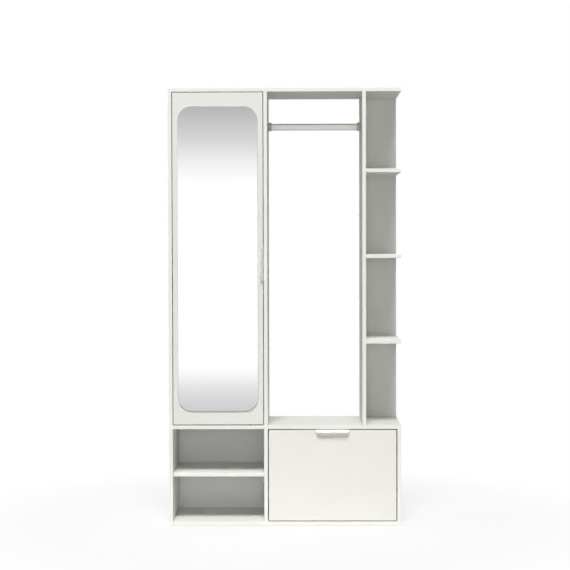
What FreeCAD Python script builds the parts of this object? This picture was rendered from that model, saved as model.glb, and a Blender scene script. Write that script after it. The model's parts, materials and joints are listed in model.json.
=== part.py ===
"""Hall wardrobe with a mirror door, an open coat bay, end shelves, a shoe niche and a tip-out shoe flap.

Millimetres, +Z up, front towards -Y. The origin is on the floor, under the middle of the whole object.
"""
import FreeCAD, Part
import os
import re

import Sketcher
from FreeCAD import Placement, Rotation, Vector

# Driving sizes, each written once and kept in the spreadsheet.
SIZES = {
    # Carcass of 16 mm boards
    "width": 1000, "board": 16, "board_depth": 347, "back_sheet": 3, "edge_round": 1,
    "lower_height": 400, "upper_height": 1434, "door_bay": 394, "end_bay": 150,
    "sheet_margin": 1, "sheet_gap": 1,
    # Shelves
    "niche_clear": 192, "niche_setback": 20, "end_shelf_clear": 352, "shelf_setback": 45,
    "shelf_side_gap": 0.5, "shelf_rear_gap": 2,
    # Hanging rail of oval tube in two open cradles
    "rail_tall": 30, "rail_deep": 15, "rail_wall": 1.2, "rail_drop": 139, "rail_play": 0.3,
    "rail_end_gap": 0.5, "socket_wall": 2, "socket_base": 2.5, "socket_reach": 16, "socket_rise": 4.5,
    "socket_screw_rise": 7,
    # Mirror door
    "door_gap": 3, "door_gap_low": 4, "mirror_side_margin": 21.5, "mirror_end_margin": 58.5,
    "mirror_round": 60, "mirror_glass": 4, "mirror_bevel": 1, "mirror_tape": 1, "tape_margin": 25,
    "tape_round": 35, "stop_block": 12, "stop_tall": 9, "stop_gap": 0.5, "stop_from_side": 60,
    "stop_peg_radius": 2.5, "stop_peg": 9,
    # Concealed hinges, measured from the hinge edge and back face of the door
    "hinge_inset": 100, "pivot_in": 13, "pivot_deep": 8.5, "cup_tab": 5, "cup_radius": 17.5,
    "cup_depth": 12.5, "cup_wall": 1.2, "cup_floor": 0.8, "cup_rim": 1.5, "cup_rim_radius": 20,
    "cup_ear_half": 31, "cup_ear_wide": 14, "cup_screw_half": 25, "pin_radius": 1.3, "pin_half": 14,
    "pin_fit": 0.02, "pin_play": 0.06, "knuckle_radius": 2.9, "arm_thick": 3, "arm_wide": 12,
    "arm_reach": 13.2, "arm_back": 17.2, "arm_end": 62, "arm_screw_at": 54, "plate_thick": 3,
    "plate_tall": 48, "plate_start": 21, "plate_screw_at": 34, "plate_screw_half": 16,
    # Edge pulls of bent sheet
    "pull_length": 150, "pull_sheet": 1.5, "pull_out": 18, "pull_drop": 10, "pull_leg": 20,
    "pull_corner": 9, "pull_taper": 15, "pull_screw_half": 55, "pull_screw_drop": 12, "door_pull_up": 692,
    # Shoe flap and its rack, measured from the pivot
    "flap_gap": 4, "flap_gap_low": 4, "flap_pivot_up": 100, "flap_pivot_behind": 9, "flap_open": 45,
    "rack_gap": 10, "rack_side": 12, "rack_sheet": 8, "rack_deep": 205, "rack_foot": 82,
    "rack_front_tall": 265, "rack_nose": 30, "rack_rear_tall": 190, "partition_at": 90,
    "partition_tall": 250, "rack_play": 0.5, "rack_screw_low": 40, "rack_screw_high": 170,
    "pivot_flange": 3, "pivot_flange_radius": 17, "pivot_boss_radius": 7.5, "pivot_radius": 5,
    "pivot_play": 0.08, "pivot_past": 2, "pivot_screw_half": 10.4, "pivot_screw_back": 6,
    "stop_distance": 150, "stop_pin_radius": 4, "stop_play": 0.5, "stop_short": 3,
    "stop_shank_radius": 2.5, "stop_shank": 11,
    "rack_dowel_radius": 3, "rack_dowel_in": 10, "rack_dowel_out": 20,
    # Wall brackets in the top of the door bay
    "bracket_wide": 25, "bracket_leg": 30, "bracket_fall": 40, "bracket_sheet": 2, "anchor_radius": 3,
    "anchor_fall": 26, "anchor_room": 2, "bracket_from_side": 60, "bracket_screw_half": 7,
    "bracket_screw_back": 20,
    # Board joints and small fasteners
    "cam_inset": 24, "cam_radius": 7.4, "cam_thick": 12.4, "cam_sink": 0.2, "cam_slot": 1.4,
    "cam_slot_long": 8, "bolt_thread_radius": 3, "bolt_thread": 11, "bolt_shank_radius": 2.6,
    "bolt_head_radius": 3.2, "bolt_head_half": 1.5, "bolt_bore": 4, "bolt_room": 0.4,
    "dowel_radius": 4, "dowel_in": 11, "dowel_out": 19, "bore_play": 0.1, "bore_end": 0.5,
    "lower_cam_at": 60, "lower_dowel_at": 110, "upper_cam_at": 80, "upper_dowel_at": 140,
    "shelf_cam_at": 50, "back_dowel_at": 90,
    "screw_radius": 1.8, "screw_length": 12, "screw_head_radius": 3.5, "screw_head": 2, "screw_dome": 1.2,
    "screw_slot": 0.9, "screw_slot_deep": 1, "hole_play": 0.3,
    "long_screw_radius": 2, "long_screw_length": 40,
    "nail_radius": 0.8, "nail_head_radius": 2.5, "nail_head": 0.6, "nail_length": 20,
    "shelf_pin_radius": 2.5, "shelf_pin_in": 9, "shelf_pin_out": 9, "shelf_pin_front": 40,
    "shelf_pin_rear": 50, "glide_height": 2, "glide_radius": 11, "glide_round": 0.8, "glide_nail_radius": 1,
    "glide_nail": 9, "glide_from_side": 32, "glide_from_edge": 40,
}

DOOR_SHELVES = 4
END_SHELVES = ("low", "mid", "high")

# Places worked out from the driving sizes.
PLACES = {
    "left": "-width / 2",
    "right": "width / 2",
    "left_in": "left + board",
    "door_div": "left_in + door_bay",
    "coat_in": "door_div + board",
    "end_div": "right - end_bay - board",
    "end_in": "end_div + board",
    "right_in": "right - board",
    "front": "(pull_out - board_depth - back_sheet) / 2",
    "rear": "front + board_depth",
    "base_low": "glide_height",
    "base_top": "base_low + board",
    "mid_low": "base_top + lower_height",
    "mid_top": "mid_low + board",
    "top_low": "mid_top + upper_height",
    "top_top": "top_low + board",
    "sheet_seam": "mid_low + board / 2",
    "niche_low": "base_top + niche_clear",
    "door_shelf_clear": f"(upper_height - {DOOR_SHELVES} * board) / {DOOR_SHELVES + 1}",
    "rail_y": "front + board_depth / 2",
    "rail_z": "top_low - rail_drop",
    "rail_round": "rail_deep / 2",
    "rail_half": "(rail_tall - rail_deep) / 2",
    "cradle_round": "rail_round + rail_play",
    "rail_end": "socket_base + screw_head + rail_end_gap",
    "door_left": "left_in + door_gap",
    "door_right": "door_div - door_gap",
    "door_low": "mid_top + door_gap_low",
    "door_top": "top_low - door_gap",
    "door_back": "front + board",
    "hinge_x": "door_left + pivot_in",
    "hinge_y": "door_back - pivot_deep",
    "cup_x": "door_left + cup_tab + cup_radius",
    "arm_wall": "plate_thick - pivot_in - door_gap",
    "flap_left": "coat_in + flap_gap",
    "flap_right": "right_in - flap_gap",
    "flap_low": "base_top + flap_gap_low",
    "flap_top": "mid_low - flap_gap",
    "tilt_y": "front + board + flap_pivot_behind",
    "tilt_z": "flap_low + flap_pivot_up",
    "rack_left": "coat_in + rack_gap",
    "rack_right": "right_in - rack_gap",
    "rack_in_left": "rack_left + rack_side",
    "rack_inside": "rack_right - rack_left - 2 * rack_side",
    "stop_slot": "stop_pin_radius + stop_play",
}

HERE = ("0", "0", "0")
UP, DOWN = (0, 0, 1), (0, 0, -1)
BACK, AHEAD = (0, 1, 0), (0, -1, 0)
RIGHT, LEFT = (1, 0, 0), (-1, 0, 0)
NEAR = 1e-6

doc = FreeCAD.newDocument("hall_wardrobe")
sheet = doc.addObject("Spreadsheet::Sheet", "Sizes")
pieces = {}
corners = {}


def fill_sheet():
    """Write every driving size into the spreadsheet under its alias."""
    for row, (name, value) in enumerate(SIZES.items(), 1):
        sheet.set(f"A{row}", name)
        sheet.set(f"B{row}", str(value))
        sheet.setAlias(f"B{row}", name)
    doc.recompute()


def expand(text):
    """Spell out an expression in spreadsheet cells, with each place put in brackets."""
    def word(match):
        name = match.group(0)
        if name in SIZES:
            return "Sizes." + name
        if name in PLACES:
            return f"({expand(PLACES[name])})"
        return name
    return re.sub(r"[A-Za-z_]\w*", word, text)


def number(text):
    """Give the present value of an expression."""
    value = sheet.evalExpression(expand(text))
    return float(getattr(value, "Value", value))


def bind(item, **formulas):
    """Bind properties of a document object to expressions."""
    for name, text in formulas.items():
        item.setExpression(name, expand(text))


def place(item, at, turn=None):
    """Put an object at a point given by three expressions, turned by a fixed rotation."""
    item.Placement = Placement(Vector(), turn or Rotation())
    for axis, text in zip("xyz", at):
        item.setExpression(f"Placement.Base.{axis}", expand(text))


def shift(at, direction, amount):
    """Move a point of expressions along a unit direction by an expression."""
    return tuple(f"{a} + ({step}) * ({amount})" if step else a for a, step in zip(at, direction))


def facing(along):
    """Turn +Z to a direction."""
    return Rotation(Vector(*UP), Vector(*along))


def new_body(name, at=HERE):
    """Start a body whose placement is its corner; its features are then given in the object's frame."""
    body = doc.addObject("PartDesign::Body", name)
    body.Label = name
    corners[body.Name] = at
    place(body, at)
    return body


def inside(body, at):
    """Give a point of the object's frame in a body's own frame."""
    return tuple(f"({a}) - ({c})" for a, c in zip(at, corners[body.Name]))


def slab(body, at, size, cut=False):
    """Add or cut a box, from its low corner and its three lengths."""
    kind = "Subtractive" if cut else "Additive"
    box = body.newObject(f"PartDesign::{kind}Box", f"{body.Name}_slab")
    place(box, inside(body, at))
    bind(box, Length=size[0], Width=size[1], Height=size[2])
    return box


def rod(body, at, along, radius, length, cut=False):
    """Add or cut a cylinder that starts at a point and runs along a direction."""
    kind = "Subtractive" if cut else "Additive"
    cylinder = body.newObject(f"PartDesign::{kind}Cylinder", f"{body.Name}_rod")
    place(cylinder, inside(body, at), facing(along))
    bind(cylinder, Radius=radius, Height=length)
    return cylinder


def bore(body, at, along, radius, length):
    """Drill a hole."""
    return rod(body, at, along, radius, length, cut=True)


def soften(body, kind, size, wanted):
    """Round or bevel the edges of the last feature whose vertices all pass a test."""
    doc.recompute()
    base = body.Tip
    edges = [f"Edge{i}" for i, edge in enumerate(base.Shape.Edges, 1) if wanted(edge)]
    feature = body.newObject(f"PartDesign::{kind}", f"{body.Name}_{kind.lower()}")
    feature.Base = (base, edges)
    bind(feature, **{"Radius" if kind == "Fillet" else "Size": size})
    return feature


def on_plane(axis, level):
    """Test that an edge lies in a plane square to an axis."""
    return lambda edge: all(abs(getattr(v, axis) - level) < NEAR for v in edge.Vertexes)


def runs_along(axis):
    """Test that an edge runs along an axis."""
    def test(edge):
        spread = {k: max(getattr(v, k) for v in edge.Vertexes) - min(getattr(v, k) for v in edge.Vertexes)
                  for k in "XYZ"}
        return spread.pop(axis) > NEAR and max(spread.values()) < NEAR
    return test


def origin_part(body, role):
    """Find an origin plane or axis of a body."""
    return next(item for item in body.Origin.OriginFeatures if item.Role == role)


def outline(body, plane, points):
    """Draw a closed straight-sided sketch whose corners are bound to expressions."""
    sketch = body.newObject("Sketcher::SketchObject", f"{body.Name}_outline")
    sketch.AttachmentSupport = (origin_part(body, plane), [""])
    sketch.MapMode = "FlatFace"
    spots = [(number(u), number(v)) for u, v in points]
    count = len(spots)
    for i, spot in enumerate(spots):
        sketch.addGeometry(Part.LineSegment(Vector(*spot, 0), Vector(*spots[(i + 1) % count], 0)))
    for i in range(count):
        sketch.addConstraint(Sketcher.Constraint("Coincident", i, 2, (i + 1) % count, 1))
    for i, (point, spot) in enumerate(zip(points, spots)):
        for kind, text, value in zip(("DistanceX", "DistanceY"), point, spot):
            index = sketch.addConstraint(Sketcher.Constraint(kind, -1, 1, i, 1, value))
            sketch.setExpression(f"Constraints[{index}]", expand(text))
    return sketch


def pad(body, sketch, length, both_ways=False):
    """Extrude a sketch."""
    feature = body.newObject("PartDesign::Pad", f"{body.Name}_pad")
    feature.Profile = sketch
    feature.SideType = "Symmetric" if both_ways else "One side"
    bind(feature, Length=length)
    return feature


def pocket(body, sketch, length):
    """Cut a sketch out of a body, to both sides of its plane."""
    feature = body.newObject("PartDesign::Pocket", f"{body.Name}_pocket")
    feature.Profile = sketch
    feature.SideType = "Symmetric"
    bind(feature, Length=length)
    return feature


def keep(name, item):
    """Register a finished sub-part under the name of its node."""
    item.Label = name
    pieces[name] = item
    return item


def copies(name, master, spots):
    """Group copies of one small piece, each at a point and turned its own way, as one node."""
    links = []
    for i, (at, turn) in enumerate(spots):
        link = doc.addObject("App::Link", f"{name}_{i}")
        link.LinkedObject = master
        place(link, at, turn)
        links.append(link)
    group = doc.addObject("Part::Compound", name)
    group.Links = links
    return keep(name, group)


def board(name, at, size):
    """Make a board with softened front edges."""
    body = new_body(name, at)
    slab(body, at, size)
    soften(body, "Fillet", "edge_round", on_plane("Y", 0))
    return keep(name, body)


class Fasteners:
    """Collect the places of the small fasteners while their holes are drilled."""

    def __init__(self):
        self.cams, self.dowels, self.fitting, self.door, self.flap = [], [], [], [], []
        self.long, self.flap_long, self.nails, self.pins = [], [], [], []

    def cam_joint(self, face_board, end_board, at, into, open_to):
        """Join a board's end to another board's face with a bolt and a cam disc."""
        away = tuple(-step for step in into)
        inward = tuple(-step for step in open_to)
        middle = shift(at, into, "cam_inset")
        bore(face_board, at, away, "bolt_thread_radius + bore_play", "bolt_thread + bore_end")
        bore(end_board, at, into, "bolt_bore", "cam_inset")
        bore(end_board, shift(middle, open_to, "board / 2"), inward, "cam_radius + bore_play",
             "cam_thick + cam_sink + bore_play")
        side = Vector(*into).cross(Vector(*open_to))
        self.cams.append((middle, Rotation(Vector(*open_to), side, Vector(*into), "ZXY")))

    def dowel_joint(self, face_board, end_board, at, into):
        """Peg a board's end to another board's face."""
        away = tuple(-step for step in into)
        bore(face_board, at, away, "dowel_radius + bore_play", "dowel_in + bore_end")
        bore(end_board, at, into, "dowel_radius + bore_play", "dowel_out + bore_end")
        self.dowels.append((at, facing(into)))

    def screw(self, spots, at, into, woods, plates=()):
        """Screw plates down on a board; the head's underside is at the given point."""
        for plate in plates:
            bore(plate, at, into, "screw_radius + hole_play", "screw_length")
        for wood in woods:
            bore(wood, at, into, "screw_radius + bore_play", "screw_length + bore_end")
        spots.append((at, facing(into)))

    def nail(self, back, board_body, at):
        """Nail a back sheet to a board's rear edge, with the head let in flush."""
        bore(back, at, AHEAD, "nail_head_radius + bore_play", "nail_head")
        bore(back, at, AHEAD, "nail_radius + bore_play", "back_sheet")
        bore(board_body, at, AHEAD, "nail_radius + bore_play", "nail_length + bore_end")
        self.nails.append((at, facing(AHEAD)))

    def shelf_pin(self, wall, at, outward):
        """Push a shelf pin into a wall."""
        inward = tuple(-step for step in outward)
        bore(wall, at, inward, "shelf_pin_radius + bore_play", "shelf_pin_in + bore_end")
        self.pins.append((at, facing(outward)))


def cam_master():
    """Model the cam disc about the middle of its bolt: the disc faces +X and the bolt comes up from -Z."""
    cam = new_body("cam_disc")
    face = ("board / 2 - cam_sink", "0", "0")
    rod(cam, face, LEFT, "cam_radius", "cam_thick")
    bore(cam, ("0", "0", "-cam_radius"), UP, "bolt_head_radius + bolt_room",
         "cam_radius + 2 * bolt_head_half")
    for wide, tall in (("cam_slot", "cam_slot_long"), ("cam_slot_long", "cam_slot")):
        slab(cam, ("board / 2 - cam_sink - cam_slot", f"-({wide}) / 2", f"-({tall}) / 2"),
             ("cam_slot", wide, tall), cut=True)
    return cam


def bolt_master():
    """Model the cam bolt, screwed in below the joint and headed at the cam."""
    bolt = new_body("cam_bolt")
    rod(bolt, ("0", "0", "-cam_inset - bolt_thread"), UP, "bolt_thread_radius", "bolt_thread")
    rod(bolt, ("0", "0", "-cam_inset"), UP, "bolt_shank_radius", "cam_inset")
    rod(bolt, ("0", "0", "-bolt_head_half"), UP, "bolt_head_radius", "2 * bolt_head_half")
    return bolt


def peg_master(name, radius, below, above):
    """Model a plain peg that crosses a joint."""
    peg = new_body(name)
    rod(peg, ("0", "0", f"-({below})"), UP, radius, f"{below} + {above}")
    return peg


def screw_master(name, radius, length):
    """Model a domed screw with a cross slot; its head lies under the origin and it points up."""
    screw = new_body(name)
    rod(screw, HERE, UP, radius, length)
    rod(screw, ("0", "0", "-screw_head"), UP, "screw_head_radius", "screw_head")
    soften(screw, "Fillet", "screw_dome", on_plane("Z", -number("screw_head")))
    for wide, deep in (("screw_slot", "screw_head_radius"), ("screw_head_radius", "screw_slot")):
        corner = (f"-({wide}) / 2", f"-({deep}) / 2", "-screw_head")
        slab(screw, corner, (wide, deep, "screw_slot_deep"), cut=True)
    return screw


def nail_master():
    """Model a flat-headed nail, head flush with the origin."""
    nail = new_body("nail")
    rod(nail, HERE, UP, "nail_radius", "nail_length")
    rod(nail, HERE, UP, "nail_head_radius", "nail_head")
    return nail


def carcass(fast):
    """Make the nine boards of the carcass and join them with cam bolts and dowels."""
    boards = {}
    for name, z in (("base_board", "base_low"), ("middle_board", "mid_low"), ("top_board", "top_low")):
        boards[name] = board(name, ("left", "front", z), ("width", "board_depth", "board"))
    lower = (("left_lower_side", "left", RIGHT), ("lower_divider", "door_div", RIGHT),
             ("right_lower_side", "right_in", LEFT))
    upper = (("left_upper_side", "left", RIGHT), ("upper_divider", "door_div", LEFT),
             ("end_divider", "end_div", RIGHT))
    storeys = (
        (lower, "base_board", "middle_board", "base_top", "lower_height", "lower_cam_at", "lower_dowel_at"),
        (upper, "middle_board", "top_board", "mid_top", "upper_height", "upper_cam_at", "upper_dowel_at"))
    for uprights, under, over, low, tall, cam_at, dowel_at in storeys:
        for name, x, cam_side in uprights:
            upright = boards[name] = board(name, (x, "front", low), ("board", "board_depth", tall))
            for face, z, into in ((boards[under], low, UP), (boards[over], f"{low} + {tall}", DOWN)):
                for y in (f"front + {cam_at}", f"rear - {cam_at}"):
                    fast.cam_joint(face, upright, (f"{x} + board / 2", y, z), into, cam_side)
                for y in (f"front + {dowel_at}", f"rear - {dowel_at}"):
                    fast.dowel_joint(face, upright, (f"{x} + board / 2", y, z), into)
    return boards


def back_sheets(boards, fast):
    """Nail a thin sheet behind the base and one behind the door bay; the coat bay stays open."""
    low = new_body("lower_back_sheet", ("left + sheet_margin", "rear", "base_low + sheet_margin"))
    slab(low, ("left + sheet_margin", "rear", "base_low + sheet_margin"),
         ("width - 2 * sheet_margin", "back_sheet", "sheet_seam - sheet_gap / 2 - base_low - sheet_margin"))
    keep("lower_back_sheet", low)
    face = "rear + back_sheet"
    for k in range(5):
        x = f"left + width * {2 * k + 1} / 10"
        fast.nail(low, boards["base_board"], (x, face, "base_low + board / 2"))
        fast.nail(low, boards["middle_board"], (x, face, "mid_low + board / 4"))
    uprights = (("left_lower_side", "left"), ("lower_divider", "door_div"), ("right_lower_side", "right_in"))
    for name, x in uprights:
        fast.nail(low, boards[name], (f"{x} + board / 2", face, "base_top + lower_height / 2"))
    high = new_body("door_bay_back_sheet", ("left + sheet_margin", "rear", "sheet_seam + sheet_gap / 2"))
    slab(high, ("left + sheet_margin", "rear", "sheet_seam + sheet_gap / 2"),
         ("coat_in - left - 2 * sheet_margin", "back_sheet",
          "top_top - sheet_margin - sheet_seam - sheet_gap / 2"))
    keep("door_bay_back_sheet", high)
    for k in range(2):
        x = f"left_in + door_bay * {2 * k + 1} / 4"
        fast.nail(high, boards["middle_board"], (x, face, "mid_top - board / 4"))
        fast.nail(high, boards["top_board"], (x, face, "top_low + board / 2"))
    for k in range(5):
        z = f"mid_top + upper_height * {2 * k + 1} / 10"
        for name, x in (("left_upper_side", "left"), ("upper_divider", "door_div")):
            fast.nail(high, boards[name], (f"{x} + board / 2", face, z))
    return high


def pin_shelf(name, at, size, walls, fast):
    """Lay a loose shelf on four pins between two walls."""
    shelf = board(name, at, size)
    x, y, z = at
    for wall, face, outward in ((walls[0], "left_in", RIGHT), (walls[1], "door_div", LEFT)):
        for depth in (f"{y} + shelf_pin_front", f"{y} + {size[1]} - shelf_pin_rear"):
            fast.shelf_pin(wall, (face, depth, f"{z} - shelf_pin_radius"), outward)
    return shelf


def shelves(boards, fast):
    """Make the niche shelf, the shelves behind the door, and the end shelves with their back board."""
    wide = "door_bay - 2 * shelf_side_gap"
    pin_shelf("niche_shelf", ("left_in + shelf_side_gap", "front + niche_setback", "niche_low"),
              (wide, "board_depth - niche_setback - shelf_rear_gap", "board"),
              (boards["left_lower_side"], boards["lower_divider"]), fast)
    for k in range(DOOR_SHELVES):
        z = f"mid_top + door_shelf_clear * {k + 1} + board * {k}"
        pin_shelf(f"door_shelf_{k + 1}", ("left_in + shelf_side_gap", "front + shelf_setback", z),
                  (wide, "board_depth - shelf_setback - shelf_rear_gap", "board"),
                  (boards["left_upper_side"], boards["upper_divider"]), fast)
    back = board("end_back_board", ("end_in", "rear - board", "mid_top"),
                 ("end_bay", "board", "upper_height"))
    spine = "rear - board / 2"
    for face, z, into in ((boards["middle_board"], "mid_top", UP), (boards["top_board"], "top_low", DOWN)):
        fast.dowel_joint(face, back, ("end_in + back_dowel_at", spine, z), into)
    divider = boards["end_divider"]
    for k, name in enumerate(END_SHELVES):
        z = f"mid_top + end_shelf_clear * {k + 1} + board * {k}"
        shelf = board(f"end_shelf_{name}", ("end_in", "front", z),
                      ("end_bay", "board_depth - board", "board"))
        core = f"{z} + board / 2"
        for y in ("front + shelf_cam_at", "rear - board - shelf_cam_at"):
            fast.cam_joint(divider, shelf, ("end_in", y, core), RIGHT, DOWN)
        at = ("end_in + end_bay / 2", "rear", core)
        for wood in (back, shelf):
            bore(wood, at, AHEAD, "long_screw_radius + bore_play", "long_screw_length + bore_end")
        fast.long.append((at, facing(AHEAD)))
        side = ("end_div", spine, f"{z} - end_shelf_clear / 2")
        for wood in (divider, back):
            bore(wood, side, RIGHT, "long_screw_radius + bore_play", "long_screw_length + bore_end")
        fast.long.append((side, facing(RIGHT)))


def oval(body, x, length, round_by, cut=False):
    """Add or cut an upright oval bar along X about the rail's axis."""
    start = (x, "rail_y", "rail_z")
    slab(body, (x, f"rail_y - ({round_by})", "rail_z - rail_half"),
         (length, f"2 * ({round_by})", "2 * rail_half"), cut)
    for way in (UP, DOWN):
        rod(body, shift(start, way, "rail_half"), RIGHT, round_by, length, cut)


def hanging_rail(boards, fast):
    """Make the oval tube and the two open cradles that carry it."""
    start = "coat_in + rail_end"
    rail = new_body("hanging_rail", (start, "rail_y", "rail_z"))
    length = "end_div - coat_in - 2 * rail_end"
    oval(rail, start, length, "rail_round")
    oval(rail, start, length, "rail_round - rail_wall", cut=True)
    keep("hanging_rail", rail)
    rim = "rail_z + rail_tall / 2 + socket_rise"
    floor = "rail_z - rail_half"
    for name, wall, face, x, inner in (
            ("left", boards["upper_divider"], "coat_in", "coat_in", "coat_in + socket_base"),
            ("right", boards["end_divider"], "end_div", "end_div - socket_reach", "end_div - socket_reach")):
        outer = "cradle_round + socket_wall"
        hollow = "socket_reach - socket_base"
        socket = new_body(f"rail_socket_{name}", (x, "rail_y", floor))
        tall = f"{rim} - ({floor})"
        slab(socket, (x, f"rail_y - ({outer})", floor), ("socket_reach", f"2 * ({outer})", tall))
        rod(socket, (x, "rail_y", floor), RIGHT, outer, "socket_reach")
        slab(socket, (inner, "rail_y - cradle_round", floor), (hollow, "2 * cradle_round", tall), cut=True)
        rod(socket, (inner, "rail_y", floor), RIGHT, "cradle_round", hollow, cut=True)
        keep(f"rail_socket_{name}", socket)
        into = LEFT if name == "left" else RIGHT
        head = shift((face, "rail_y", "rail_z"), into, "-socket_base")
        for way in (UP, DOWN):
            fast.screw(fast.fitting, shift(head, way, "socket_screw_rise"), into, (wall,), (socket,))


def edge_pull(name, at, turn):
    """Bend a sheet over a panel's edge: a leg behind, a web across, and a lip that slopes out in front.

    In its own frame the panel's front face is Y = 0, its edge is Z = 0 and the pull runs along X.
    """
    pull = new_body(name)
    back = "board + pull_sheet"
    profile = outline(pull, "YZ_Plane", (
        (back, "-pull_leg"), (back, "pull_sheet"), ("0", "pull_sheet"),
        ("-pull_out", "pull_sheet - pull_drop"), ("-pull_out", "-pull_drop"),
        ("0", "0"), ("board", "0"), ("board", "-pull_leg")))
    pad(pull, profile, "pull_length", both_ways=True)
    for end in (1, -1):
        wedge = outline(pull, "XY_Plane", (
            (f"{end} * (pull_length / 2 - pull_corner)", "-pull_out"),
            (f"{end} * pull_length / 2", "-pull_out"),
            (f"{end} * pull_length / 2", "pull_taper - pull_out")))
        pocket(pull, wedge, "4 * pull_drop")
    for side in ("pull_screw_half", "-pull_screw_half"):
        hole = (side, back, "-pull_screw_drop")
        rod(pull, hole, AHEAD, "screw_radius + hole_play", "pull_sheet", cut=True)
    place(pull, at, turn)
    return keep(name, pull)


def mirror_door(fast):
    """Make the door panel, the mirror with its tape, and the pull on the free edge."""
    panel = new_body("door_panel", ("door_left", "front", "door_low"))
    slab(panel, ("door_left", "front", "door_low"),
         ("door_right - door_left", "board", "door_top - door_low"))
    soften(panel, "Fillet", "edge_round", on_plane("Y", 0))
    keep("door_panel", panel)
    layers = (("mirror_tape", "mirror_tape", "front - mirror_tape", "tape_margin", "tape_round"),
              ("mirror_glass", "mirror_glass", "front - mirror_tape - mirror_glass", "0", "mirror_round"))
    for name, thick, y, margin, radius in layers:
        at = (f"door_left + mirror_side_margin + {margin}", y, f"door_low + mirror_end_margin + {margin}")
        layer = new_body(name, at)
        slab(layer, at, (f"door_right - door_left - 2 * (mirror_side_margin + {margin})", thick,
                         f"door_top - door_low - 2 * (mirror_end_margin + {margin})"))
        soften(layer, "Fillet", radius, runs_along("Y"))
        if name == "mirror_glass":
            soften(layer, "Chamfer", "mirror_bevel", on_plane("Y", 0))
        keep(name, layer)
    middle = "door_low + door_pull_up"
    edge_pull("door_handle", ("door_right", "front", middle), Rotation(Vector(*BACK), 90))
    for side in ("pull_screw_half", "-pull_screw_half"):
        at = ("door_right - pull_screw_drop", "door_back + pull_sheet", f"{middle} + {side}")
        fast.screw(fast.door, at, AHEAD, (panel,))
    return panel


def hinges(panel, boards, fast):
    """Hang the door on three concealed hinges: a cup in the door, and a cranked arm on a side plate."""
    side = boards["left_upper_side"]
    pins = []
    plates = []
    for name, z in (("low", "door_low + hinge_inset"), ("mid", "(door_low + door_top) / 2"),
                    ("high", "door_top - hinge_inset")):
        cup = new_body(f"hinge_cup_{name}", ("cup_x", "door_back", z))
        rod(cup, ("cup_x", "door_back", z), AHEAD, "cup_radius", "cup_depth")
        rod(cup, ("cup_x", "door_back", z), BACK, "cup_rim_radius", "cup_rim")
        slab(cup, ("cup_x - cup_ear_wide / 2", "door_back", f"{z} - cup_ear_half"),
             ("cup_ear_wide", "cup_rim", "2 * cup_ear_half"))
        rod(cup, ("cup_x", "door_back + cup_rim", z), AHEAD, "cup_radius - cup_wall",
            "cup_rim + cup_depth - cup_floor", cut=True)
        bore(cup, ("hinge_x", "hinge_y", f"{z} - pin_half"), UP, "pin_radius + pin_fit", "2 * pin_half")
        keep(f"hinge_cup_{name}", cup)
        bore(panel, ("cup_x", "door_back", z), AHEAD, "cup_radius + bore_play", "cup_depth + bore_play")
        for way in (UP, DOWN):
            at = shift(("cup_x", "door_back + cup_rim", z), way, "cup_screw_half")
            fast.screw(fast.door, at, AHEAD, (panel,), (cup,))
        pins.append((("hinge_x", "hinge_y", z), Rotation()))
        hinge_arm(name, z, fast, side, plates)
    copies("hinge_pins", peg_master("hinge_pin", "pin_radius", "pin_half", "pin_half"), pins)
    group = doc.addObject("Part::Compound", "hinge_plates")
    group.Links = plates
    keep("hinge_plates", group)


def hinge_arm(name, z, fast, side, plates):
    """Make one cranked arm about the pivot, and its mounting plate.

    The arm leaves the pivot into the cup, comes out behind the door and turns back to the side, so that the
    strip of door between the cup and the edge swings round inside the crank.
    """
    arm = new_body(f"hinge_arm_{name}", ("hinge_x", "hinge_y", z))
    profile = outline(arm, "XY_Plane", (
        ("0", "arm_thick / 2"), ("arm_reach", "arm_thick / 2"), ("arm_reach", "arm_back"),
        ("arm_wall", "arm_back"), ("arm_wall", "arm_end"), ("arm_wall + arm_thick", "arm_end"),
        ("arm_wall + arm_thick", "arm_back + arm_thick"), ("arm_reach + arm_thick", "arm_back + arm_thick"),
        ("arm_reach + arm_thick", "-arm_thick / 2"), ("0", "-arm_thick / 2")))
    pad(arm, profile, "arm_wide", both_ways=True)
    low = ("hinge_x", "hinge_y", f"{z} - arm_wide / 2")
    rod(arm, low, UP, "knuckle_radius", "arm_wide")
    bore(arm, low, UP, "pin_radius + pin_play", "arm_wide")
    keep(f"hinge_arm_{name}", arm)
    corner = ("left_in", "hinge_y + plate_start", f"{z} - plate_tall / 2")
    plate = new_body(f"hinge_plate_{name}", corner)
    slab(plate, corner, ("plate_thick", "arm_end - plate_start", "plate_tall"))
    plates.append(plate)
    for way in (UP, DOWN):
        at = shift(("left_in + plate_thick", "hinge_y + plate_screw_at", z), way, "plate_screw_half")
        fast.screw(fast.fitting, at, LEFT, (side,), (plate,))
    at = ("left_in + plate_thick + arm_thick", "hinge_y + arm_screw_at", z)
    fast.screw(fast.fitting, at, LEFT, (side,), (arm, plate))


def door_stops(boards):
    """Peg a stop block above and below, just behind the free edge of the closed door."""
    block = new_body("stop_block")
    slab(block, ("-stop_block / 2", "-stop_block / 2", "0"), ("stop_block", "stop_block", "stop_tall"))
    soften(block, "Fillet", "edge_round", on_plane("Z", number("stop_tall")))
    rod(block, HERE, DOWN, "stop_peg_radius", "stop_peg")
    spots = []
    for face, z, up in ((boards["middle_board"], "mid_top", UP), (boards["top_board"], "top_low", DOWN)):
        at = ("door_div - stop_from_side", "door_back + stop_gap + stop_block / 2", z)
        bore(face, at, tuple(-step for step in up), "stop_peg_radius + bore_play", "stop_peg + bore_end")
        spots.append((at, facing(up)))
    copies("door_stops", block, spots)


def stop_spot(angle):
    """Give the place of the stop about the tilt axis, at an angle up from straight back."""
    return (f"tilt_y + stop_distance * cos({angle} * 1 deg)",
            f"tilt_z + stop_distance * sin({angle} * 1 deg)")


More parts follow.
